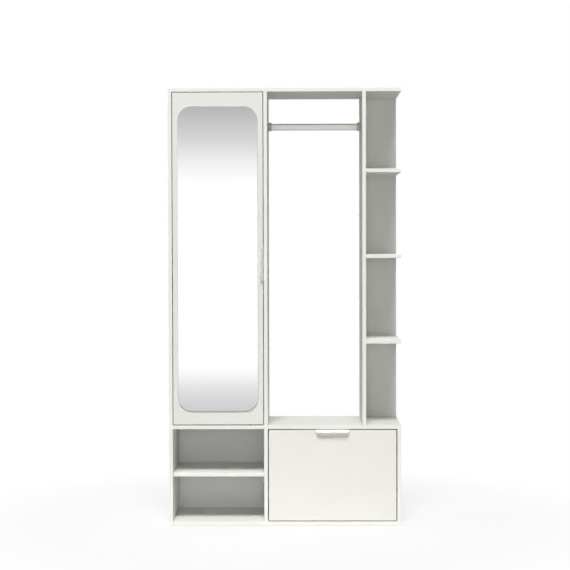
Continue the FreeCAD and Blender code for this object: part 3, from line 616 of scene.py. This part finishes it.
@dataclass(frozen=True)
class PlasticFinish(Finish):
    """Moulded plastic with a spark-eroded grain."""

    body: Colour = (0.66, 0.66, 0.63)
    shade: Colour = (0.60, 0.60, 0.57)
    # Lighter colour on the sharp edges: wear, and a painted highlight.
    edge_highlight_and_wear: Colour = (0.74, 0.74, 0.72)
    rough: float = 0.42
    grain: float = 1600.0

    def material(self) -> bpy.types.Material:
        """Make the material.

        Returns:
            The material.
        """
        material, graph, shader = self.start(Specular_IOR_Level=0.45)
        cloud = EFFECTS.place(graph, Effect.MOTTLE, Scale=40.0)["Value"]
        edge = EFFECTS.place(graph, Effect.WORN_EDGE, Radius=0.4 * MM, Breakup=200.0)
        colour = graph.blend(cloud, self.shade, self.body)
        # Sharp edges painted lighter: wear, and a painted highlight.
        colour = graph.blend(graph.math("MULTIPLY", edge["Mask"], 0.3), colour, self.edge_highlight_and_wear)
        graph.feed(shader["Base Color"], colour)
        graph.feed(shader["Roughness"], graph.between(cloud, self.rough - 0.05, self.rough + 0.06))
        height = EFFECTS.place(graph, Effect.GRAIN, Scale=self.grain)["Height"]
        normal = self.relief(graph, height, depth=0.04 * MM, strength=0.4, normal=edge["Normal"])
        graph.feed(shader["Normal"], normal)
        return material


@dataclass(frozen=True)
class BeechFinish(Finish):
    """Turned beech with short dark flecks along the grain."""

    wood: Colour = (0.62, 0.42, 0.24)
    dark: Colour = (0.48, 0.30, 0.16)
    fleck: Colour = (0.30, 0.17, 0.08)

    def material(self) -> bpy.types.Material:
        """Make the material.

        Returns:
            The material.
        """
        material, graph, shader = self.start()
        rings = EFFECTS.place(graph, Effect.STREAKS, Scale=500.0, Stretch=(1.0, 1.0, 0.1))["Value"]
        flecks = graph.ramp(graph.noise(900.0, detail=1.0, stretch=(1, 1, 0.2)), 0.64, 0.72)
        colour = graph.blend(rings, self.dark, self.wood)
        colour = graph.blend(graph.math("MULTIPLY", flecks, 0.6), colour, self.fleck)
        graph.feed(shader["Base Color"], colour)
        graph.feed(shader["Roughness"], graph.between(rings, 0.7, 0.55))
        graph.feed(shader["Normal"], self.relief(graph, rings, depth=0.08 * MM, strength=0.3))
        return material


@dataclass(frozen=True)
class TapeFinish(Finish):
    """White foam tape with open cells on its cut edge."""

    foam: Colour = (0.75, 0.75, 0.75)
    cell: Colour = (0.60, 0.60, 0.60)
    cells: float = 1500.0

    def material(self) -> bpy.types.Material:
        """Make the material.

        Returns:
            The material.
        """
        material, graph, shader = self.start()
        foam = graph.add("TexVoronoi", {"Vector": graph.object_point(), "Scale": self.cells})
        cells = foam.outputs["Distance"]
        graph.feed(shader["Base Color"], graph.blend(graph.ramp(cells, 0.1, 0.6), self.cell, self.foam))
        graph.feed(shader["Roughness"], graph.ramp(cells, 0.0, 0.7, low=0.95, high=0.8))
        graph.feed(shader["Normal"], self.relief(graph, cells, depth=0.2 * MM, strength=0.5))
        return material


@dataclass(frozen=True)
class SilverFinish(Finish):
    """The silvered face of the mirror, with faint wiping marks that only change its gloss."""

    silver: Colour = (0.925, 0.932, 0.930)
    wiped: Colour = (0.910, 0.918, 0.917)

    def material(self) -> bpy.types.Material:
        """Make the material.

        Returns:
            The material.
        """
        material, graph, shader = self.start(Metallic=1.0)
        cloud = EFFECTS.place(graph, Effect.MOTTLE, Scale=2.5)["Value"]
        wipes = EFFECTS.place(graph, Effect.STREAKS, Scale=18.0, Stretch=(1.0, 1.0, 0.25))["Value"]
        marks = graph.math("MULTIPLY", cloud, wipes)
        graph.feed(shader["Base Color"], graph.blend(marks, self.silver, self.wiped))
        graph.feed(shader["Roughness"], graph.between(marks, 0.004, 0.022))
        return material


@dataclass(frozen=True)
class GlassRimFinish(Finish):
    """The ground and polished rim of float glass, seen green and slightly frosted."""

    rim: Colour = (0.60, 0.66, 0.64)
    deep: Colour = (0.46, 0.54, 0.51)
    rough: float = 0.16

    def material(self) -> bpy.types.Material:
        """Make the material.

        Returns:
            The material.
        """
        material, graph, shader = self.start(Specular_IOR_Level=0.6)
        ground = EFFECTS.place(graph, Effect.STREAKS, Scale=900.0, Stretch=(1.0, 0.05, 1.0))["Value"]
        cloud = EFFECTS.place(graph, Effect.MOTTLE, Scale=20.0)["Value"]
        graph.feed(shader["Base Color"], graph.blend(cloud, self.deep, self.rim))
        graph.feed(shader["Roughness"], graph.between(ground, self.rough, self.rough + 0.1))
        graph.feed(shader["Normal"], self.relief(graph, ground, depth=0.01 * MM, strength=0.15))
        return material


DARK_PLASTIC = PlasticFinish("pivot_plastic", body=(0.170, 0.170, 0.175), shade=(0.140, 0.140, 0.145))


class FinishStore:
    """Keeps one material for each finish, for all the pieces that share it."""

    def __init__(self) -> None:
        """Start with no material made."""
        self.made: dict[Finish, bpy.types.Material] = {}

    def material(self, finish: Finish) -> bpy.types.Material:
        """Give the material of a finish, made when it is first asked for.

        Args:
            finish: The finish.

        Returns:
            Its material.
        """
        if finish not in self.made:
            self.made[finish] = finish.material()
        return self.made[finish]


FINISHES = FinishStore()


def dress(nodes: dict[str, bpy.types.Object], names: Iterable[str], finish: Finish) -> None:
    """Give CAD nodes their finish.

    Args:
        nodes: The frame's nodes.
        names: Which nodes share the finish.
        finish: The finish.
    """
    material = FINISHES.material(finish)
    for name in names:
        mesh = nodes[name].data
        mesh.materials.clear()
        mesh.materials.append(material)
        LOG.info("%s dressed in %s", name, finish.name)


def make_piece(name: str, shape: bmesh.types.BMesh, finishes: Sequence[Finish], body: Body
               ) -> bpy.types.Object:
    """Turn a built shape into a piece of the object.

    Args:
        name: The piece's name.
        shape: The shape, in the frame of the whole object; it is freed.
        finishes: One finish for each material index of the shape's faces.
        body: The body that the piece rides on.

    Returns:
        The piece.
    """
    bmesh.ops.recalc_face_normals(shape, faces=shape.faces)
    mesh = bpy.data.meshes.new(name)
    shape.to_mesh(mesh)
    shape.free()
    piece = bpy.data.objects.new(name, mesh)
    bpy.context.scene.collection.objects.link(piece)
    for finish in finishes:
        mesh.materials.append(FINISHES.material(finish))
    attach(piece, body.value)
    LOG.info("%s built with %d faces", name, len(mesh.polygons))
    return piece


def soften(piece: bpy.types.Object, width: float, steps: int = 2, sharp: float = 40.0) -> None:
    """Round the sharp edges of a piece.

    Args:
        piece: The piece.
        width: How wide each rounding is.
        steps: Faces across each rounding.
        sharp: The angle from which an edge is rounded, in degrees.
    """
    bevel = piece.modifiers.new("soft_edges", "BEVEL")
    bevel.width = width
    bevel.segments = steps
    bevel.limit_method = "ANGLE"
    bevel.angle_limit = math.radians(sharp)
    bevel.harden_normals = True


def arc(centre: Point, radius: float, start: float, end: float, steps: int) -> list[Point]:
    """List points along an arc.

    Args:
        centre: The arc's centre.
        radius: Its radius.
        start: The first angle, in degrees.
        end: The last angle, in degrees.
        steps: Number of stretches.

    Returns:
        The points, both ends included.
    """
    angles = [math.radians(start + (end - start) * k / steps) for k in range(steps + 1)]
    return [(centre[0] + radius * math.cos(a), centre[1] + radius * math.sin(a)) for a in angles]


def bridge(shape: bmesh.types.BMesh, first: list[bmesh.types.BMVert], second: list[bmesh.types.BMVert]
           ) -> list[bmesh.types.BMFace]:
    """Join two rings of points with a band of smooth faces.

    Args:
        shape: The shape that holds the points.
        first: One ring, once round.
        second: The other ring, with as many points.

    Returns:
        The faces of the band.
    """
    band = []
    for k in range(len(first)):
        j = (k + 1) % len(first)
        band.append(shape.faces.new((first[k], first[j], second[j], second[k])))
        band[-1].smooth = True
    return band


@dataclass
class EdgePull:
    """A pull of bent sheet that hooks over a panel's edge.

    In its own frame the panel's front face is Y = 0, its edge is Z = 0, and the pull runs along X.
    """

    name: str
    node: str
    body: Body
    place: Matrix = field(default_factory=Matrix)
    length: float = 150 * MM
    sheet: float = 1.5 * MM
    out: float = 18 * MM
    drop: float = 10 * MM
    leg: float = 20 * MM
    panel: float = 16 * MM
    corner: float = 9 * MM
    taper: float = 15 * MM
    bend: float = 1.4 * MM
    sweep: float = 5 * MM
    edge: float = 0.35 * MM
    knee_steps: int = 4
    heel_steps: int = 5

    def profile(self, tip: float) -> list[Point]:
        """Draw the bent sheet's section where the lip reaches out to a given distance.

        Args:
            tip: How far the lip reaches, as a positive length.

        Returns:
            The section's corners as (y, z), once round.
        """
        back = self.panel + self.sheet
        slope = math.atan2(self.drop, self.out)
        fall = tip * math.tan(slope)
        reach = self.sweep * math.tan(slope / 2)
        turned = 90 + math.degrees(slope)
        knee = arc((reach, self.sheet - self.sweep), self.sweep, 90, turned, self.knee_steps)
        heel = arc((back - self.bend, self.sheet - self.bend), self.bend, 0, 90, self.heel_steps)
        return [(back, -self.leg), *heel, *knee, (-tip, self.sheet - fall), (-tip, -fall), (0.0, 0.0),
                (self.panel, 0.0), (self.panel, -self.leg)]

    def build(self) -> bpy.types.Object:
        """Build the pull in place of its CAD node.

        Returns:
            The piece.
        """
        shape = bmesh.new()
        half = self.length / 2
        stations = ((-half, self.out - self.taper), (-half + self.corner, self.out),
                    (half - self.corner, self.out), (half, self.out - self.taper))
        rings = [[shape.verts.new(self.place @ Vector((x, y, z))) for y, z in self.profile(tip)]
                 for x, tip in stations]
        for first, second in zip(rings, rings[1:]):
            bridge(shape, first, second)
        for ring in (rings[0], rings[-1]):
            shape.faces.new(ring).smooth = True
        piece = make_piece(self.name, shape, (CoatedMetalFinish("powder_coat"),), self.body)
        soften(piece, self.edge)
        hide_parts(self.node)
        return piece


@dataclass
class MirrorPlate:
    """The mirror on the door: a rounded plate with a polished bevel."""

    node: str = "mirror_glass"
    radius: float = 60 * MM
    bevel: float = 1.2 * MM
    bevel_deep: float = 1.0 * MM
    steps: int = 20
    low: Vector = field(default_factory=Vector)
    high: Vector = field(default_factory=Vector)

    def outline(self, inset: float) -> list[Point]:
        """Draw the plate's outline.

        Args:
            inset: How far inside the plate's rim the outline runs.

        Returns:
            The outline as (x, z), once round.
        """
        r = self.radius
        corners = (((self.high.x - r, self.high.z - r), 0), ((self.low.x + r, self.high.z - r), 90),
                   ((self.low.x + r, self.low.z + r), 180), ((self.high.x - r, self.low.z + r), 270))
        return [p for centre, turn in corners for p in arc(centre, r - inset, turn, turn + 90, self.steps)]

    def build(self) -> bpy.types.Object:
        """Build the plate in place of its CAD node.

        Returns:
            The piece.
        """
        self.low, self.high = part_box(self.node)
        shape = bmesh.new()
        layers = ((0.0, self.high.y), (0.0, self.low.y + self.bevel_deep), (self.bevel, self.low.y))
        rings = [[shape.verts.new((x, y, z)) for x, z in self.outline(inset)] for inset, y in layers]
        for first, second, side in zip(rings, rings[1:], (MirrorFace.RIM, MirrorFace.BEVEL)):
            for face in bridge(shape, first, second):
                face.material_index = side.value
        shape.faces.new(rings[-1]).material_index = MirrorFace.SILVER.value
        shape.faces.new(rings[0]).material_index = MirrorFace.BACK.value
        for edge in shape.edges:
            edge.smooth = len({face.material_index for face in edge.link_faces}) == 1
        finishes = {
            MirrorFace.SILVER: SilverFinish("silvered_glass"),
            MirrorFace.BEVEL: GlassRimFinish("polished_bevel", rough=0.06),
            MirrorFace.RIM: GlassRimFinish("ground_rim"),
            MirrorFace.BACK: PlasticFinish("backing_paint", body=(0.34, 0.36, 0.36)),
        }
        in_order = [finishes[side] for side in MirrorFace]
        piece = make_piece("mirror_plate", shape, in_order, Body.DOOR)
        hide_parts(self.node)
        return piece


@dataclass
class CamCaps:
    """Thin press-in caps over the cam bores that show in the open bays."""

    radius: float = 8.6 * MM
    proud: float = 0.8 * MM
    dome: float = 0.35 * MM
    sunk: float = 0.1 * MM
    wall_share: float = 0.55
    rim_share: float = 0.94
    crown_share: float = 0.5
    sides: int = 32
    inset: float = 24 * MM
    side_rows: tuple[tuple[str, float], ...] = (("left_lower_side", 60 * MM), ("end_divider", 80 * MM))
    shelf_along: float = 50 * MM

    def cap(self, shape: bmesh.types.BMesh, at: Vector, out: Vector) -> None:
        """Add one cap.

        Args:
            shape: The shape that gets the cap.
            at: The middle of the bore on the board's face.
            out: The direction away from the face.
        """
        turn = out.to_track_quat("Z", "Y").to_matrix().to_4x4()
        place = Matrix.Translation(at) @ turn
        rings = ((self.radius, -self.sunk), (self.radius, self.proud * self.wall_share),
                 (self.radius * self.rim_share, self.proud),
                 (self.radius * self.crown_share, self.proud + self.dome))
        loops = []
        for radius, z in rings:
            points = [(radius * math.cos(a), radius * math.sin(a), z)
                      for a in (2 * math.pi * k / self.sides for k in range(self.sides))]
            loops.append([shape.verts.new(place @ Vector(p)) for p in points])
        for first, second in zip(loops, loops[1:]):
            bridge(shape, first, second)
        shape.faces.new(loops[-1]).smooth = True
        shape.faces.new(loops[0]).smooth = False

    def spots(self) -> list[tuple[Vector, Vector]]:
        """List the bores that show.

        Returns:
            The middle of each bore on its face, with its outward direction.
        """
        found = []
        for node, along in self.side_rows:
            low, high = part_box(node)
            for y in (low.y + along, high.y - along):
                for z in (low.z + self.inset, high.z - self.inset):
                    found.append((Vector((high.x, y, z)), Vector((1, 0, 0))))
        for node in END_SHELVES:
            low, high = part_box(node)
            for y in (low.y + self.shelf_along, high.y - self.shelf_along):
                found.append((Vector((low.x + self.inset, y, low.z)), Vector((0, 0, -1))))
        return found

    def build(self) -> bpy.types.Object:
        """Build all the caps as one piece.

        Returns:
            The piece.
        """
        shape = bmesh.new()
        for at, out in self.spots():
            self.cap(shape, at, out)
        cover = PlasticFinish("cap_plastic", body=(0.78, 0.78, 0.74), shade=(0.74, 0.74, 0.70))
        return make_piece("cam_caps", shape, (cover,), Body.CARCASS)


@dataclass
class Carcass:
    """The boards, sheets and shelves that stand still."""

    nodes: dict[str, bpy.types.Object]
    boards: tuple[str, ...] = ("base_board", "top_board", "left_lower_side", "lower_divider",
                               "right_lower_side", "left_upper_side", "upper_divider", "end_divider")
    door_shelves: tuple[str, ...] = ("door_shelf_1", "door_shelf_2", "door_shelf_3", "door_shelf_4")

    def front(self, node: str) -> float:
        """Give the place of a node's front face along Y."""
        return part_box(node)[0].y

    def build(self) -> None:
        """Dress the boards and add the caps over their cams."""
        ahead = self.front("base_board")
        carcass = BoardFinish("carcass_board", low=(-FAR, ahead, -FAR), bare_rear=True)
        dress(self.nodes, self.boards, carcass)
        # The seat is the same melamine as the carcass, with a darker face colour: painted shade on the floor
        # of the coat bay.
        shaded_seat = BoardFinish("seat_board_painted_shade", low=(-FAR, ahead, -FAR), bare_rear=True,
                           face=(0.735, 0.735, 0.695), shade=(0.715, 0.715, 0.675))
        dress(self.nodes, ("middle_board",), shaded_seat)
        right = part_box("end_shelf_mid")[1].x
        ends = BoardFinish("end_shelf_board", low=(-FAR, ahead, -FAR), high=(right, FAR, FAR),
                           bare_rear=True)
        dress(self.nodes, END_SHELVES, ends)
        dress(self.nodes, ("end_back_board",), BoardFinish("end_back", high=(right, FAR, FAR)))
        niche = BoardFinish("niche_board", low=(-FAR, self.front("niche_shelf"), -FAR), bare_rear=True)
        dress(self.nodes, ("niche_shelf",), niche)
        inner = BoardFinish("door_bay_board", low=(-FAR, self.front("door_shelf_1"), -FAR), bare_rear=True)
        dress(self.nodes, self.door_shelves, inner)
        dress(self.nodes, ("lower_back_sheet", "door_bay_back_sheet"), HardboardFinish("hardboard"))
        CamCaps().build()


@dataclass
class CoatRail:
    """The hanging rail and its two cradles."""

    nodes: dict[str, bpy.types.Object]

    def build(self) -> None:
        """Dress the tube and the cradles."""
        tube = CoatedMetalFinish("satin_grey_tube", coat=(0.86, 0.86, 0.815),
                                 coat_shade=(0.82, 0.82, 0.775), bare=(0.72, 0.72, 0.70), rough=0.30,
                                 peel=1500.0, rubbed=0.45, flake=0.9)
        dress(self.nodes, ("hanging_rail",), tube)
        dress(self.nodes, ("rail_socket_left", "rail_socket_right"), PlasticFinish("cradle_plastic"))


@dataclass
class MirrorDoor:
    """The door with its mirror, pull and hinges."""

    nodes: dict[str, bpy.types.Object]

    def pull_place(self, pull: EdgePull) -> Matrix:
        """Stand the pull on the free edge of the door, half way up its CAD node.

        Args:
            pull: The pull.

        Returns:
            Its place in the frame of the whole object.
        """
        low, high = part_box(pull.node)
        edge = Vector((high.x - pull.sheet, low.y + pull.out, (low.z + high.z) / 2))
        return Matrix.Translation(edge) @ Matrix.Rotation(math.radians(90), 4, "Y")

    def build(self) -> None:
        """Build the mirror and the pull, and dress the rest."""
        low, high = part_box("door_panel")
        rim = BoardFinish("door_board", low=(low.x, -FAR, low.z), high=(high.x, FAR, high.z),
                          face=(0.790, 0.798, 0.748), shade=(0.772, 0.780, 0.730))
        dress(self.nodes, ("door_panel",), rim)
        dress(self.nodes, ("mirror_tape",), TapeFinish("foam_tape"))
        nickel = PlatedFinish("nickel", metal=(0.64, 0.62, 0.58), dull=(0.55, 0.53, 0.50), rough=0.24)
        hinges = [f"hinge_{part}_{level}" for part in ("cup", "arm") for level in ("low", "mid", "high")]
        dress(self.nodes, (*hinges, "hinge_plates", "hinge_pins"), nickel)
        MirrorPlate().build()
        pull = EdgePull("door_pull", "door_handle", Body.DOOR)
        pull.place = self.pull_place(pull)
        pull.build()


@dataclass
class ShoeFlap:
    """The tip-out flap with its pull, rack and pivots."""

    nodes: dict[str, bpy.types.Object]
    rack: tuple[str, ...] = ("rack_side_left", "rack_side_right", "rack_floor", "rack_partition",
                             "rack_back")

    def pull_place(self, pull: EdgePull) -> Matrix:
        """Lay the pull on the top edge of the flap, in the middle of its CAD node.

        Args:
            pull: The pull.

        Returns:
            Its place in the frame of the whole object.
        """
        low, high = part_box(pull.node)
        return Matrix.Translation(((low.x + high.x) / 2, low.y + pull.out, high.z - pull.sheet))

    def build(self) -> None:
        """Build the pull and dress the rest."""
        low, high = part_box("flap_front")
        # The flap is the same melamine as the door, with a lighter, warmer face colour: painted light,
        # standing for the brighter light low on the front.
        rim = BoardFinish("flap_board_painted_light", low=(low.x, -FAR, low.z), high=(high.x, FAR, high.z),
                          face=(0.828, 0.810, 0.772), shade=(0.810, 0.792, 0.754))
        dress(self.nodes, ("flap_front",), rim)
        board = BoardFinish("rack_board", face=(0.74, 0.74, 0.71), shade=(0.71, 0.71, 0.68))
        dress(self.nodes, self.rack, board)
        dress(self.nodes, ("flap_pivot_left", "flap_pivot_right"), DARK_PLASTIC)
        dress(self.nodes, ("flap_stop_studs",), PlatedFinish("stud_nickel", rough=0.22))
        dress(self.nodes, ("rack_dowels",), BeechFinish("rack_beech"))
        pull = EdgePull("flap_pull", "flap_handle", Body.FLAP)
        pull.place = self.pull_place(pull)
        pull.build()


@dataclass
class Fittings:
    """The small parts that join, hold and carry."""

    nodes: dict[str, bpy.types.Object]

    def build(self) -> None:
        """Dress the fasteners, brackets, pins, stops and glides."""
        zinc = PlatedFinish("zinc_plate")
        dress(self.nodes, ("cam_bolts", "back_sheet_nails", "end_back_screws", "fitting_screws",
                           "door_screws", "flap_screws", "rack_screws"), zinc)
        dress(self.nodes, ("shelf_pins",), PlatedFinish("pin_nickel", rough=0.22))
        dress(self.nodes, ("wall_bracket_left", "wall_bracket_right"),
              PlatedFinish("bracket_zinc", metal=(0.58, 0.58, 0.56), rough=0.34, lines=300.0))
        cast = PlatedFinish("die_cast", metal=(0.50, 0.50, 0.49), dull=(0.40, 0.40, 0.39), rough=0.44)
        dress(self.nodes, ("cam_discs",), cast)
        dress(self.nodes, ("dowels",), BeechFinish("dowel_beech"))
        dress(self.nodes, ("door_stops",), DARK_PLASTIC)
        dress(self.nodes, ("floor_glides",), PlasticFinish("glide_plastic", body=(0.55, 0.55, 0.53),
                                                           shade=(0.48, 0.48, 0.46), rough=0.55))


@dataclass
class Lamp:
    """One soft round lamp, aimed at the middle of the object.

    Its azimuth is 0 in front of the object and grows to the right; both angles are in degrees.
    """

    name: str
    azimuth: float
    elevation: float
    distance: float
    power: float
    size: float = 3.0
    mirrored: bool = False
    aim: tuple[float, float, float] = (0.0, 0.0, 0.95)

    def build(self) -> None:
        """Hang the lamp."""
        data = bpy.data.lights.new(self.name, "AREA")
        data.shape = "DISK"
        data.size = self.size
        data.energy = self.power
        lamp = bpy.data.objects.new(self.name, data)
        turn, rise = math.radians(self.azimuth), math.radians(self.elevation)
        away = Vector((math.sin(turn) * math.cos(rise), -math.cos(turn) * math.cos(rise), math.sin(rise)))
        lamp.location = Vector(self.aim) + self.distance * away
        lamp.rotation_euler = away.to_track_quat("Z", "Y").to_euler()
        lamp.visible_glossy = self.mirrored
        bpy.context.scene.collection.objects.link(lamp)


@dataclass
class Studio:
    """The pale floor, the soft light and the camera at the photograph's angle."""

    ambient: float = 0.10
    floor_radius: float = 30.0
    floor_sides: int = 96
    floor_colour: Colour = (0.76, 0.76, 0.75)
    floor_far: Colour = (0.25, 0.25, 0.245)
    # Metres from the object between which the floor turns to its far colour.
    pale_reach: tuple[float, float] = (0.6, 1.8)
    # Metres from the object between which its shadow runs out, and the share of white that it starts with.
    shadow_reach: tuple[float, float] = (0.4, 1.6)
    shadow_white: float = 0.72
    # Metres ahead of the object between which the mirror sees the floor brighten, and how bright it is there.
    mirror_reach: tuple[float, float] = (4.0, 9.3)
    mirror_floor: tuple[float, float] = (0.65, 1.1)
    # How bright the mirror sees the room at each height, as the sine of the angle above the horizon.
    sky_top: float = 0.3
    sky: tuple[Point, ...] = ((0.0, 1.1), (0.040, 1.1), (0.056, 0.94), (0.070, 0.73), (0.093, 0.50),
                              (0.3, 0.62))
    lens: float = 93.483
    sensor: float = 36.0
    sight: float = 200.0
    camera_place: tuple[float, float, float] = (0.0704, -6.5232, 1.2104)
    camera_turn: tuple[float, float, float] = (88.4576, 0.1350, 0.6165)
    lamps: tuple[Lamp, ...] = (
        Lamp("key_lamp", -3.0, 57.0, 14.0, 2090.0, size=5.5, mirrored=True),
        Lamp("front_lamp", 0.0, 3.0, 10.0, 140.0),
        Lamp("back_lamp", 180.0, 5.0, 9.0, 260.0),
        Lamp("left_lamp", -94.0, 5.0, 9.0, 330.0),
        Lamp("right_lamp", 93.0, 5.0, 9.0, 130.0),
    )

    def world(self) -> None:
        """Surround the scene with soft light and a white ground that camera and mirror see."""
        world = bpy.data.worlds.new("studio")
        bpy.context.scene.world = world
        world.use_nodes = True
        graph = Graph(world.node_tree)
        height = graph.add("SeparateXYZ", {0: graph.add("TexCoord").outputs["Generated"]}).outputs["Z"]
        ramp = graph.add("ValToRGB", {0: graph.ramp(height, 0.0, self.sky_top, smooth=False)})
        for index, (place, level) in enumerate(self.sky):
            points = ramp.color_ramp.elements
            stop = points[index] if index < 2 else points.new(1.0)
            stop.position = place / self.sky_top
            stop.color = (level, level, level, 1.0)
        path = graph.add("LightPath").outputs
        plain = graph.add("Background", {0: (1.0, 1.0, 1.0), 1: self.ambient})
        white = graph.add("Background", {0: (1.0, 1.0, 1.0), 1: 1.0})
        mirrored = graph.add("Background", {0: ramp.outputs[0], 1: 1.0})
        glossy = {0: path["Is Glossy Ray"], 1: plain.outputs[0], 2: mirrored.outputs[0]}
        lit = graph.add("MixShader", glossy)
        clear = graph.math("MAXIMUM", path["Is Camera Ray"], path["Is Transmission Ray"])
        seen = graph.add("MixShader", {0: clear, 1: lit.outputs[0], 2: white.outputs[0]})
        graph.add("OutputWorld", {"Surface": seen.outputs[0]})

    def floor_material(self) -> bpy.types.Material:
        """Make a pale floor that keeps a soft shadow by the object and runs out to white.

        Returns:
            The material.
        """
        material = bpy.data.materials.new("pale_floor")
        material.use_nodes = True
        graph = Graph(material.node_tree)
        point = graph.object_point()
        away = graph.add("VectorMath", {0: point}, operation="LENGTH").outputs["Value"]
        ahead = graph.math("MULTIPLY", graph.add("SeparateXYZ", {0: point}).outputs["Y"], -1.0)
        path = graph.add("LightPath").outputs
        tone = graph.blend(graph.ramp(away, *self.pale_reach), self.floor_colour, self.floor_far)
        plain = graph.add("BsdfDiffuse", {"Color": tone}).outputs[0]
        white = graph.add("Emission", {0: (1.0, 1.0, 1.0), 1: 1.0}).outputs[0]
        near = graph.ramp(away, *self.shadow_reach, self.shadow_white, 1.0)
        seen = graph.add("MixShader", {0: near, 1: plain, 2: white}).outputs[0]
        level = graph.ramp(ahead, *self.mirror_reach, *self.mirror_floor)
        mirrored = graph.add("Emission", {0: (1.0, 1.0, 1.0), 1: level}).outputs[0]
        clear = graph.math("MAXIMUM", path["Is Camera Ray"], path["Is Transmission Ray"])
        lit = graph.add("MixShader", {0: path["Is Glossy Ray"], 1: plain, 2: mirrored}).outputs[0]
        surface = graph.add("MixShader", {0: clear, 1: lit, 2: seen}).outputs[0]
        graph.add("OutputMaterial", {"Surface": surface})
        return material

    def floor(self) -> None:
        """Lay the floor."""
        shape = bmesh.new()
        bmesh.ops.create_circle(shape, cap_ends=True, radius=self.floor_radius, segments=self.floor_sides)
        mesh = bpy.data.meshes.new("studio_floor")
        shape.to_mesh(mesh)
        shape.free()
        mesh.materials.append(self.floor_material())
        ground = bpy.data.objects.new("studio_floor", mesh)
        bpy.context.scene.collection.objects.link(ground)

    def camera(self) -> None:
        """Set up the camera."""
        data = bpy.data.cameras.new("camera")
        data.lens = self.lens
        data.sensor_width = self.sensor
        data.clip_end = self.sight
        camera = bpy.data.objects.new("camera", data)
        camera.location = self.camera_place
        camera.rotation_euler = Euler([math.radians(turn) for turn in self.camera_turn])
        bpy.context.scene.collection.objects.link(camera)
        bpy.context.scene.camera = camera

    def build(self) -> None:
        """Build the whole studio."""
        bpy.context.scene.view_settings.view_transform = "Standard"
        self.world()
        self.floor()
        self.camera()
        for lamp in self.lamps:
            lamp.build()
        LOG.info("studio built with %d lamps", len(self.lamps))


def main() -> None:
    """Build every sub-assembly on the frame, then the studio."""
    logging.basicConfig(level=logging.INFO, format="%(message)s")
    for item in list(bpy.data.objects):
        bpy.data.objects.remove(item)
    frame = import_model()
    for assembly in (Carcass, CoatRail, MirrorDoor, ShoeFlap, Fittings):
        assembly(frame["nodes"]).build()
    Studio().build()


if __name__ == "__main__":
    main()
